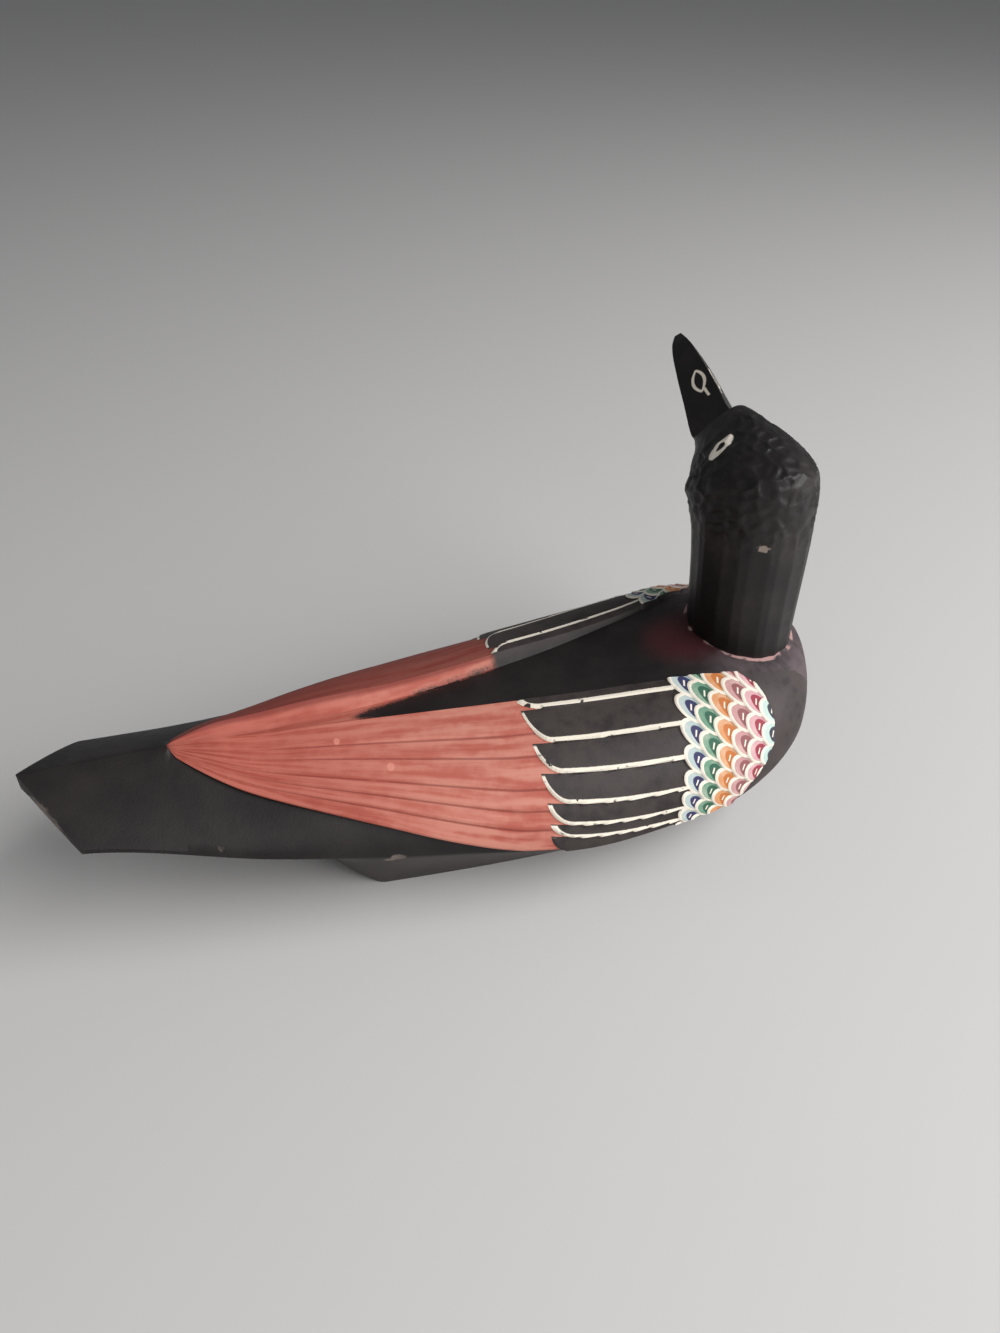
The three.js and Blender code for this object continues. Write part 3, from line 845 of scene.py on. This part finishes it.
# Noise per millimetre of the coarse, medium and fine grain, and of the brush streaks along the wings
BODY_GRAINS = (0.05, 0.22, 1.1)
NECK_GRAINS = (0.06, 0.25, 1.2)
STREAKS_ALONG = 0.03
STREAKS_DOWN = 14
GRAIN_MEAN = 0.5

# Ends of the wing's paint, in the wing attribute
WING_START_V = (-0.012, -0.002)
WING_END_V = (1.06, 1.03)


class BodyFields:
    """What the body's paint is drawn from: places in millimetres, the wing attribute and the grain."""

    def __init__(self, brush):
        self.x, self.y, self.z = brush.place()
        self.v = brush.attribute("wing_v", "Fac")
        self.side = abs(self.y)
        self.is_left = self.y > 0
        self.on_wing = self.v.fade(WING_START_V) * self.v.fade(WING_END_V)
        spot = brush.join(self.x, self.y, self.z)
        self.coarse, self.medium, self.fine = [brush.grain(spot, scale) for scale in BODY_GRAINS]
        self.streaks = brush.grain(brush.join(self.x * STREAKS_ALONG, self.v * STREAKS_DOWN, 0), 1)
        self.ragged = self.fine + self.medium - 2 * GRAIN_MEAN


# Black of the body: handled places, painted sheen on the breast, maroon painted shade behind the neck, and
# grey of wear and painted reflection
WORN_GRAIN = (0.35, 0.75)
SHEEN_X = (48, 84)
SHEEN_GRAIN = (0.3, 0.7)
SHEEN_MEDIUM_SHARE = 0.4
SHEEN_STRENGTH = 0.75
NECK_SHADE_CENTRE = (62, -1)
NECK_SHADE_HALF_SIZE = (19, 16)
NECK_SHADE_EDGE = (1.3, 0.5, 0.15)
NECK_SHADE_GRAIN = (0.25, 0.5)
NECK_SHADE_STRENGTH = 0.85
FLANK_V = (2.02, 2.1)
FLANK_X = (-120, -60)
GREY_GRAIN = (0.2, 0.6)
GREY_MEDIUM_SHARE = 0.5
GREY_WEAR_AND_SHEEN_STRENGTH = 0.85


def black_paint(brush, paint, at):
    """Black with worn places, grey of wear and painted reflection, painted breast sheen, and maroon painted
    shade behind the neck.
    """
    colour = brush.over(at.coarse.fade(WORN_GRAIN), paint.black, paint.worn_black)
    # Painted sheen: reflected light on the breast, painted as purplish grey over the black
    sheen = brush.pick(SHEEN_MEDIUM_SHARE, at.coarse, at.medium).fade(SHEEN_GRAIN)
    sheen = sheen * at.x.fade(SHEEN_X)
    colour = brush.over(sheen * SHEEN_STRENGTH, colour, paint.breast)
    # Painted shade: a maroon patch behind the neck, where the neck keeps the light off the back
    neck_shade_x = (at.x - NECK_SHADE_CENTRE[0]) / NECK_SHADE_HALF_SIZE[0]
    neck_shade_y = (at.y - NECK_SHADE_CENTRE[1]) / NECK_SHADE_HALF_SIZE[1]
    neck_shade = brush.distance(neck_shade_x, neck_shade_y).edge(NECK_SHADE_EDGE, at.ragged)
    neck_shade = neck_shade * at.coarse.fade(NECK_SHADE_GRAIN)
    colour = brush.over(neck_shade * NECK_SHADE_STRENGTH, colour, paint.maroon_neck_shade)
    on_flank = at.v.fade(FLANK_V) * at.x.fade(FLANK_X)
    on_coverts = at.v.fade((CREST_FOOT_V, 0)) * at.v.fade(WING_END_V)
    on_coverts = on_coverts * (at.x > RED_END_X)
    # Grey on coverts and flanks: partly wear, partly painted sheen and floor reflection
    grey = brush.pick(GREY_MEDIUM_SHARE, at.coarse, at.medium).fade(GREY_GRAIN)
    grey = grey * brush.larger(on_flank, on_coverts)
    return brush.over(grey * GREY_WEAR_AND_SHEEN_STRENGTH, colour, paint.covert_grey_wear_and_sheen)


# Red of the wings: dark streaks to the rear and the lower edge, dust with painted sheen to the front, and
# painted shade on the left wing and in the cuts between feathers
SHADE_X = (-50, -125)
SHADE_V = (0.8, 1)
SHADE_TO_REAR = 0.7
SHADE_TO_EDGE = 0.4
SHADE_EVERYWHERE = 0.3
SHADE_STREAKS = (0.62, 0.34)
SHADE_MEDIUM = 0.2
DUST_AND_SHEEN_X = (-115, -25)
DUST_AND_SHEEN_TO_FRONT = 0.9
DUST_AND_SHEEN_EVERYWHERE = 0.1
DUST_AND_SHEEN_STREAKS = (0.34, 0.66)
DUST_AND_SHEEN_MEDIUM = 0.3
LEFT_WING_SHADE_V = (-0.04, -0.01)
LEFT_WING_SHADE_STRENGTH = 0.7
CUT_WIDTH = (0.012, 0.003)
CUT_BELOW_EDGE = 0.004
CUT_X = (WING_TIP_X + 10, -80)
CUT_GRAIN = (0.3, 0.6)
CUT_STREAKS = 0.4
CUT_SHADE_STRENGTH = 0.6


def red_paint(brush, paint, at):
    """Salmon red in brush streaks, paler with dust and painted sheen, deeper with painted shade on the left
    wing and in the cuts.
    """
    shaded = at.x.fade(SHADE_X) * SHADE_TO_REAR + at.v.fade(SHADE_V) * SHADE_TO_EDGE
    dark = (at.streaks + (at.medium - GRAIN_MEAN) * SHADE_MEDIUM).fade(SHADE_STREAKS)
    colour = brush.over(brush.clip(dark * (shaded + SHADE_EVERYWHERE)), paint.red, paint.red_shade)
    # Dust and painted sheen: the red paler towards the front of the wings
    dust_and_sheen = at.x.fade(DUST_AND_SHEEN_X) * DUST_AND_SHEEN_TO_FRONT + DUST_AND_SHEEN_EVERYWHERE
    pale = (at.streaks + (at.medium - GRAIN_MEAN) * DUST_AND_SHEEN_MEDIUM).fade(DUST_AND_SHEEN_STREAKS)
    colour = brush.over(pale * dust_and_sheen, colour, paint.red_dust_and_sheen)
    # Painted shade: the left wing, turned from the light, in deeper red
    left_wing_shade = at.is_left * at.v.fade(LEFT_WING_SHADE_V)
    colour = brush.over(left_wing_shade * LEFT_WING_SHADE_STRENGTH, colour, paint.deep_red_painted_shade)
    # Painted shade in the creases just below each flight feather's edge
    cut = 0
    for edge in RED_EDGES[1:-1]:
        cut = abs(at.v - edge - CUT_BELOW_EDGE).fade(CUT_WIDTH) + cut
    cut = cut * at.x.fade(CUT_X) * (at.medium + at.streaks * CUT_STREAKS).fade(CUT_GRAIN)
    return brush.over(cut * CUT_SHADE_STRENGTH, colour, paint.deep_red_painted_shade)


# Black that runs back from the neck in a ragged wedge between the wings
WEDGE_START_X = -74
WEDGE_LENGTH = 62
WEDGE_HALF_WIDTH = 13
WEDGE_POWER = 0.7
WEDGE_EDGE = (-1.4, 1.4, 2.4)
WEDGE_STREAKS = 7
WEDGE_TIP_X = (-76, -70)
BACK_V = (-0.03, -0.09)


def black_wedge(brush, at):
    """How much of the back the black wedge covers."""
    reach = brush.clip((at.x - WEDGE_START_X) / WEDGE_LENGTH)
    half_width = WEDGE_HALF_WIDTH * brush.math("POWER", reach, WEDGE_POWER)
    inside = half_width - at.side + (at.streaks - GRAIN_MEAN) * WEDGE_STREAKS
    wedge = inside.edge(WEDGE_EDGE, at.ragged)
    return wedge * at.v.fade(BACK_V) * at.x.fade(WEDGE_TIP_X)


# Ends of the red: the wing's lower edge and tip, and its front on the inner faces
RED_LOWER_EDGE = (1.02, 1.0, 0.02)
RED_TIP_EDGE = (WING_TIP_X - 1, WING_TIP_X + 1, 1.5)
RED_FRONT_EDGE = (RED_END_X + 2, RED_END_X - 2, 0.8)
INNER_FACE_V = -0.004


def red_place(brush, at, covert):
    """Where the red lies: up to the coverts on the wings, and beside the black wedge on the back."""
    red = at.v.edge(RED_LOWER_EDGE, at.ragged) * at.x.edge(RED_TIP_EDGE, at.ragged)
    on_inner = at.x.edge(RED_FRONT_EDGE, at.ragged)
    red = red * brush.pick(at.v > INNER_FACE_V, on_inner, 1 - covert)
    return red * (at.x < RED_END_X + COVERT_ROUND) * (1 - black_wedge(brush, at))


# Cream lines at the coverts' lower edges: width in millimetres, ends, and the noise that chips and wears them
LINE_EDGE = (1.95, 1.55, 0.35)
LINE_DOWN = (0.04, 0.12)
LINE_LEVEL = (1.0, 0.987)
LINE_X = (53.5, 51.5)
LINE_CHIP_NOISE = (0.16, 14, 0.02)
LINE_CHIP_DETAIL = 4
LINE_CHIP_GRAIN = (0.265, 0.325)
LINE_WEAR_NOISE = (0.2, 10)
LINE_WEAR_SLICE = 3
LINE_WEAR_GRAIN = (0.3, 0.34)
CREST_LINE_LEVEL = (0.12, 0.09)
CREST_LINE_WEAR = 0.03


def covert_lines(brush, at, patch_x, level, down, gap):
    """Where the cream lines lie, from the gap in millimetres to each covert's edge."""
    line = gap.edge(LINE_EDGE, at.ragged) * down.fade(LINE_DOWN)
    line = line * level.fade(LINE_LEVEL) * patch_x.fade(LINE_X)
    chip_x, chip_v, chip_y = LINE_CHIP_NOISE
    chip_spot = brush.join(at.x * chip_x, at.v * chip_v, at.y * chip_y)
    line = line * brush.grain(chip_spot, 1, LINE_CHIP_DETAIL).fade(LINE_CHIP_GRAIN)
    wear_x, wear_v = LINE_WEAR_NOISE
    wear = brush.grain(brush.join(at.x * wear_x, at.v * wear_v, LINE_WEAR_SLICE), 1)
    on_crest = level.fade(CREST_LINE_LEVEL)
    return line * (wear - on_crest * CREST_LINE_WEAR).fade(LINE_WEAR_GRAIN) * at.on_wing


# Paint of the scale feathers from the rear column to the front one
SCALE_CORES = (
    srgb(52, 52, 92), srgb(48, 94, 74), srgb(190, 112, 56),
    srgb(142, 88, 90), srgb(150, 56, 72), srgb(60, 60, 72),
)
SCALE_BODIES = (
    srgb(176, 190, 188), srgb(104, 146, 122), srgb(208, 146, 98),
    srgb(192, 146, 144), srgb(204, 158, 162), srgb(184, 206, 198),
)

# One scale feather in shares of its half size: rim on the free edge, tapered core, and two dashes in it
RIM_WIDTH = 0.22
RIM_ALONG = -0.9
RIM_ACROSS = 0.45
RIM_FACING = (-0.75, 0.1)
RIM_EDGE = (-0.03, 0.03, 0.05)
LEAST_RADIUS = 0.05
CORE_CENTRE = (0.1, 0.02)
CORE_HALF_SIZE = (0.5, 0.6)
CORE_TAPER = 0.35
CORE_TAPER_START = -0.2
CORE_EDGE = (1.08, 0.96, 0.08)
DASH_OFFSET = 0.15
DASH_LEAN = 0.2
DASH_CENTRE = -0.02
DASH_EDGE = (0.06, 0.035, 0.03)
DASH_END = (0.28, 0.22)
SCALE_DUST_GRAIN = (0.4, 0.75)
SCALE_DUST = 0.25
PATCH_FRONT_EDGE = (-0.35, 0.35, 0.4)


def scale_paint(brush, paint, at, patch_x):
    """The colour of the scale feathers, and where they lie."""
    top, lattice = scale_fields(brush, patch_x, at.v)
    along, across = top["along"], top["across"]
    radius = brush.distance(along, across)
    facing = (across * RIM_ACROSS + along * RIM_ALONG) / brush.larger(radius, LEAST_RADIUS)
    rim_width = RIM_WIDTH * facing.fade(RIM_FACING)
    rim = (radius + rim_width - 1).edge(RIM_EDGE, at.ragged)
    narrow = 1 - CORE_TAPER * brush.clip(across - CORE_TAPER_START)
    core_along = (along - CORE_CENTRE[0]) / (CORE_HALF_SIZE[0] * narrow)
    core_across = (across - CORE_CENTRE[1]) / CORE_HALF_SIZE[1]
    core = brush.distance(core_along, core_across).edge(CORE_EDGE, at.ragged)
    lean = along - CORE_CENTRE[0] + across * DASH_LEAN
    dash = abs(abs(lean) - DASH_OFFSET).edge(DASH_EDGE, at.ragged)
    dash = dash * abs(across - DASH_CENTRE).fade(DASH_END)
    dust = at.medium.fade(SCALE_DUST_GRAIN) * SCALE_DUST
    colour = brush.over(dust, brush.ramp(top["column"], SCALE_BODIES), paint.cream)
    colour = brush.over(core, colour, brush.ramp(top["column"], SCALE_CORES))
    for mark in (dash * core, rim):
        colour = brush.over(mark, colour, paint.cream)
    in_front = (patch_front_field(brush, at.v) - patch_x).edge(PATCH_FRONT_EDGE, at.ragged)
    patch = brush.larger(top["inside"], lattice > 0) * in_front * at.on_wing
    return colour, patch * (patch_x > SCALES_START_X - SCALE_REACH)


# Bare wood in flakes along the rear of the chine and at the sawn tail
CHINE_START_V = (1.9, 1.99)
CHINE_END_V = (2.16, 2.1)
FLAKE_NOISE = 0.12
FLAKE_DETAIL = 5
CHINE_FLAKES = (0.6, 0.66)
CHINE_WEAR_X = (-60, -80)
CHINE_WEAR = 0.8
SAWN_EDGE = (1.1, 0.5, 1.2)
SAWN_FLAKES = (0.5, 0.6)
SAWN_WEAR = 0.5


def bare_wood_place(brush, at):
    """How much bare wood shows."""
    flakes = brush.grain(brush.join(at.x * FLAKE_NOISE, at.z * FLAKE_NOISE, 0), 1, FLAKE_DETAIL)
    on_chine = at.v.fade(CHINE_START_V) * at.v.fade(CHINE_END_V)
    chips = on_chine * flakes.fade(CHINE_FLAKES) * at.x.fade(CHINE_WEAR_X)
    from_saw = (at.x - TAIL_TIP_X) * math.cos(TAIL_SLANT) - at.side * math.sin(TAIL_SLANT)
    sawn = from_saw.edge(SAWN_EDGE, at.ragged) * flakes.fade(SAWN_FLAKES)
    return brush.larger(chips * CHINE_WEAR, sawn * SAWN_WEAR)


# Filler in a broken oval round the foot of the neck, and two drops of paint on the right wing
SEAM_HALF_SIZE = (20.2, 23)
SEAM_Y = -0.5
SEAM_EDGE = (1.05, 1.03, 0.02)
SEAM_Z = (60, 66)
SEAM_NOISE = 0.1
SEAM_SLICE = 5
SEAM_GRAIN = (0.42, 0.5)
SEAM_STRENGTH = 0.85
DROPS = ((-82.2, -15.2, 1.3), (-66, -27.8, 1.6))
DROP_FULL = 0.7
DROP_RAGGEDNESS = 0.5
DROP_Z = (20, 40)
DROP_STRENGTH = 0.5


def seam_place(brush, at):
    """Where the filler shows."""
    neck_x = (at.x - NECK_X) / SEAM_HALF_SIZE[0]
    neck_y = (at.y - SEAM_Y) / SEAM_HALF_SIZE[1]
    seam = brush.distance(neck_x, neck_y).edge(SEAM_EDGE, at.ragged) * at.z.fade(SEAM_Z)
    breaks = brush.grain(brush.join(at.x * SEAM_NOISE, at.y * SEAM_NOISE, SEAM_SLICE), 1)
    return seam * breaks.fade(SEAM_GRAIN)


# Roughness, shine and small relief of the paint, with the depth of the relief in metres
BODY_ROUGHNESS = 0.5
BODY_GRAIN_ROUGHNESS = 0.16
DRY_ROUGHNESS = 0.1
BODY_SHINE = 0.36
NECK_ROUGHNESS = 0.38
NECK_GRAIN_ROUGHNESS = 0.2
NECK_SHINE = 0.42
FINE_RELIEF = 0.5
MEDIUM_RELIEF = 0.6
STREAK_RELIEF = 1.2
BODY_RELIEF = 0.35
NECK_RELIEF = 0.3
RELIEF_DEPTH = 0.0004


def body_paint(paint):
    """Black body, red flight feathers, black coverts with cream lines, and coloured scales with rims."""
    brush = Brush("carved body paint")
    at = BodyFields(brush)
    shift = at.is_left * LEFT_PATCH_SHIFT
    patch_x = at.x - shift
    level, down, height, outline = covert_fields(brush, at.x, at.v, shift)
    covert = (outline < 1) * (at.x > RED_END_X)
    red_zone = red_place(brush, at, covert)
    colour = brush.over(red_zone, black_paint(brush, paint, at), red_paint(brush, paint, at))
    line = covert_lines(brush, at, patch_x, level, down, (1 - outline) * height) * covert
    colour = brush.over(line, colour, paint.cream)
    scale, patch = scale_paint(brush, paint, at, patch_x)
    colour = brush.over(patch, colour, scale)
    colour = brush.over(bare_wood_place(brush, at), colour, paint.bare_wood)
    colour = brush.over(seam_place(brush, at) * SEAM_STRENGTH, colour, paint.seam)
    for drop_x, drop_y, size in DROPS:
        near = brush.distance(at.x - drop_x, at.y - drop_y)
        drop = near.edge((size, size * DROP_FULL, DROP_RAGGEDNESS), at.ragged)
        drop = drop * at.z.fade(DROP_Z)
        colour = brush.over(drop * DROP_STRENGTH, colour, paint.drop)
    dry = brush.larger(red_zone, patch)
    roughness = BODY_ROUGHNESS + BODY_GRAIN_ROUGHNESS * at.medium + DRY_ROUGHNESS * dry
    brush.coat(colour, roughness, BODY_SHINE)
    relief = at.fine * FINE_RELIEF + at.medium * MEDIUM_RELIEF + at.streaks * red_zone * STREAK_RELIEF
    brush.bump(relief, BODY_RELIEF, RELIEF_DEPTH)
    return brush.material


# Painted eyes in the head's own frame, the left one first and the right one lower
EYE_CENTRES = (Vector((9, 12.7, 148.6)), Vector((7.2, -20.5, 140)))
EYE_LONGS = (Vector((2.7, -8.3, 7.1)).normalized(), Vector((3.6, 3.4, 10.2)).normalized())
EYE_HALF_LONG = 6
EYE_HALF_WIDE = 3.3
EYE_EDGE = (1.05, 0.95, 0.06)
EYE_FROM_MIDDLE = 2
PUPIL_HALF_LONG = 2.2
PUPIL_HALF_WIDE = 1.4
PUPIL_EDGE = (1.08, 0.92, 0.05)

# Nostrils, alike on both sides: a leaf-shaped outline with a short tail behind it, along the beak
NOSTRIL_CENTRE = (50.2, 155.4)
NOSTRIL_HALF_LONG = 4.8
NOSTRIL_HALF_WIDE = 2
NOSTRIL_EDGE = (0.62, 0.42, 0.2)
NOSTRIL_ENDS = (1.08, 1.0)
NOSTRIL_F = (38, 41)
NOSTRIL_STRENGTH = 0.9
NOSTRIL_TAIL_PLACE = (-4.4, 1.1)
NOSTRIL_TAIL_SLOPE = -0.2
NOSTRIL_TAIL_WIDTH = (0.55, 0.35)
NOSTRIL_TAIL_REAR = (-8.2, -7.6)
NOSTRIL_TAIL_FRONT = (-3.4, -4.2)

# Wear of the neck's black, and a chip at the back of the head
NECK_WORN_GRAIN = (0.45, 0.7)
CHIP_SIDE = 7.4
CHIP_Z = 122.3
CHIP_FLATNESS = 1.4
CHIP_EDGE = (2.4, 1.6, 2.5)
CHIP_F = (-15, -19)
CHIP_STRENGTH = 0.7


def nostril_place(brush, f, up, ragged):
    """Where the cream of the nostrils lies."""
    from_f = f - NOSTRIL_CENTRE[0]
    from_z = up - NOSTRIL_CENTRE[1]
    along = from_f * math.cos(BEAK_RAISE) + from_z * math.sin(BEAK_RAISE)
    across = from_z * math.cos(BEAK_RAISE) - from_f * math.sin(BEAK_RAISE)
    reach = along / NOSTRIL_HALF_LONG
    leaf = NOSTRIL_HALF_WIDE * (1 - reach * reach)
    ring = abs(abs(across) - leaf).edge(NOSTRIL_EDGE, ragged)
    ring = ring * abs(reach).fade(NOSTRIL_ENDS)
    tail_along, tail_across = NOSTRIL_TAIL_PLACE
    off_tail = abs(across - tail_across - (along - tail_along) * NOSTRIL_TAIL_SLOPE)
    tail = off_tail.fade(NOSTRIL_TAIL_WIDTH)
    tail = tail * along.fade(NOSTRIL_TAIL_REAR) * along.fade(NOSTRIL_TAIL_FRONT)
    return brush.larger(ring, tail) * f.fade(NOSTRIL_F)


def neck_paint(paint):
    """Satin black over knife cuts, with a painted eye and nostril on each side."""
    brush = Brush("carved neck paint")
    spot = brush.join(*brush.place())
    f, side, up = brush.split(brush.attribute("head_frame", "Vector"))
    coarse, medium, fine = [brush.grain(spot, scale) for scale in NECK_GRAINS]
    ragged = fine + medium - 2 * GRAIN_MEAN

    def away(axis, centre):
        total = 0
        for value, part, middle in zip((f, side, up), axis, centre):
            total = (value - middle) * part + total
        return total

    def oval(centre, long_axis, half_long, half_wide):
        wide_axis = Vector((1, 0, 0)) - long_axis * long_axis.x
        long_way = away(long_axis, centre) / half_long
        wide_way = away(wide_axis.normalized(), centre) / half_wide
        return brush.distance(long_way, wide_way)

    colour = brush.over(coarse.fade(NECK_WORN_GRAIN), paint.black, paint.worn_black)
    for centre, long_axis in zip(EYE_CENTRES, EYE_LONGS):
        this_side = side.fade((0, math.copysign(EYE_FROM_MIDDLE, centre.y)))
        white = oval(centre, long_axis, EYE_HALF_LONG, EYE_HALF_WIDE).edge(EYE_EDGE, ragged)
        pupil = oval(centre, long_axis, PUPIL_HALF_LONG, PUPIL_HALF_WIDE).edge(PUPIL_EDGE, ragged)
        colour = brush.over(white * this_side, colour, paint.cream)
        colour = brush.over(pupil * this_side, colour, paint.black)
    colour = brush.over(nostril_place(brush, f, up, ragged) * NOSTRIL_STRENGTH, colour, paint.cream)
    chip = brush.distance(side - CHIP_SIDE, (up - CHIP_Z) * CHIP_FLATNESS).edge(CHIP_EDGE, ragged)
    chip = chip * f.fade(CHIP_F)
    colour = brush.over(chip * CHIP_STRENGTH, colour, paint.bare_wood)
    brush.coat(colour, NECK_ROUGHNESS + NECK_GRAIN_ROUGHNESS * medium, NECK_SHINE)
    brush.bump(fine * FINE_RELIEF + medium * MEDIUM_RELIEF, NECK_RELIEF, RELIEF_DEPTH)
    return brush.material


class BIRD_OT_body(bpy.types.Operator):
    """Carve and paint the body with its wings and tail"""
    bl_idname = "bird.body"
    bl_label = "Carved body"

    def execute(self, context):
        scene = context.scene
        shape = carve_body(scene.bird_carving)
        finish_piece(shape, "carved_body", body_paint(scene.bird_paint), "body")
        return {"FINISHED"}


class BIRD_OT_head(bpy.types.Operator):
    """Carve and paint the neck and head"""
    bl_idname = "bird.head"
    bl_label = "Carved neck and head"

    def execute(self, context):
        scene = context.scene
        shape = carve_head(scene.bird_carving)
        material = neck_paint(scene.bird_paint)
        finish_piece(shape, "carved_neck_and_head", material, "neck_and_head")
        return {"FINISHED"}


# Camera of the photograph: place in metres, tilt and turn, and a lens for the long side of a 36 mm frame
CAMERA_PLACE = (-0.1128, -0.2931, 0.3168)
CAMERA_PITCH_DEG = 38
CAMERA_YAW_DEG = 18.2
FOCAL_PIXELS = 1040
IMAGE_HEIGHT = 1333
SENSOR_MM = 36

# Lights, as places and sizes in metres, and the room's colour
LIGHT_AIM = (0, 0, 0.05)
KEY_PLACE = (0.85, -0.8, 0.95)
KEY_SIZE = 1.5
FILL_PLACE = (-0.6, -0.9, 0.9)
FILL_SIZE = 1.2
ROOM_COLOUR = (0.93, 0.96, 1, 1)

# Table, with its half size in metres, and its paint
TABLE_HALF_SIZE = 6
TABLE_CELLS = 8
MOTTLE_GRAIN = 0.01
MOTTLE_STRENGTH = 0.12
TABLE_ROUGHNESS = 0.7
MOTTLE_ROUGHNESS = 0.1
TABLE_SHINE = 0.5


def add_light(name, place, size, power):
    data = bpy.data.lights.new(name, "AREA")
    data.size = size
    data.energy = power
    light = bpy.data.objects.new(name, data)
    light.location = place
    light.rotation_euler = (Vector(LIGHT_AIM) - Vector(place)).to_track_quat("-Z", "Y").to_euler()
    bpy.context.scene.collection.objects.link(light)


def table_paint(stage):
    brush = Brush("pale table")
    mottle = brush.grain(brush.join(*brush.place()), MOTTLE_GRAIN)
    colour = brush.over(mottle * MOTTLE_STRENGTH, stage.floor, stage.mottle)
    brush.coat(colour, TABLE_ROUGHNESS + MOTTLE_ROUGHNESS * mottle, TABLE_SHINE)
    return brush.material


class BIRD_OT_stage(bpy.types.Operator):
    """Lay the table, set the lights and place the camera"""
    bl_idname = "bird.stage"
    bl_label = "Table, lights and camera"

    def execute(self, context):
        scene = context.scene
        stage = scene.bird_stage
        sheet = bmesh.new()
        bmesh.ops.create_grid(sheet, x_segments=TABLE_CELLS, y_segments=TABLE_CELLS, size=TABLE_HALF_SIZE)
        mesh = bpy.data.meshes.new("table")
        sheet.to_mesh(mesh)
        sheet.free()
        mesh.materials.append(table_paint(stage))
        table = bpy.data.objects.new("table", mesh)
        scene.collection.objects.link(table)
        add_light("key light", KEY_PLACE, KEY_SIZE, stage.key_power)
        add_light("fill light", FILL_PLACE, FILL_SIZE, stage.fill_power)
        world = bpy.data.worlds.new("room")
        world.use_nodes = True
        background = world.node_tree.nodes["Background"]
        background.inputs["Color"].default_value = ROOM_COLOUR
        background.inputs["Strength"].default_value = stage.room_light
        scene.world = world
        scene.view_settings.view_transform = "Standard"
        data = bpy.data.cameras.new("camera")
        data.sensor_width = SENSOR_MM
        data.lens = FOCAL_PIXELS / IMAGE_HEIGHT * SENSOR_MM
        camera = bpy.data.objects.new("camera", data)
        camera.location = CAMERA_PLACE
        camera.rotation_euler = (math.radians(90 - CAMERA_PITCH_DEG), 0, math.radians(-CAMERA_YAW_DEG))
        scene.collection.objects.link(camera)
        scene.camera = camera
        return {"FINISHED"}


class BIRD_PT_panel(bpy.types.Panel):
    """Lists the pieces and the values that shape them"""
    bl_idname = "BIRD_PT_panel"
    bl_label = "Carved bird"
    bl_space_type = "VIEW_3D"
    bl_region_type = "UI"
    bl_category = "Bird"

    def draw(self, context):
        scene = context.scene
        for operator in (BIRD_OT_body, BIRD_OT_head, BIRD_OT_stage):
            self.layout.operator(operator.bl_idname)
        for group in (scene.bird_carving, scene.bird_paint, scene.bird_stage):
            for name in group.__annotations__:
                self.layout.prop(group, name)


GROUPS = {"bird_carving": BirdCarving, "bird_paint": BirdPaint, "bird_stage": BirdStage}
CLASSES = (*GROUPS.values(), BIRD_OT_body, BIRD_OT_head, BIRD_OT_stage, BIRD_PT_panel)


def register():
    for cls in CLASSES:
        bpy.utils.register_class(cls)
    for name, group in GROUPS.items():
        setattr(bpy.types.Scene, name, bpy.props.PointerProperty(type=group))


def unregister():
    for name in GROUPS:
        delattr(bpy.types.Scene, name)
    for cls in reversed(CLASSES):
        bpy.utils.unregister_class(cls)


def main():
    register()
    bpy.ops.bird.body()
    bpy.ops.bird.head()
    bpy.ops.bird.stage()


if __name__ == "__main__":
    main()
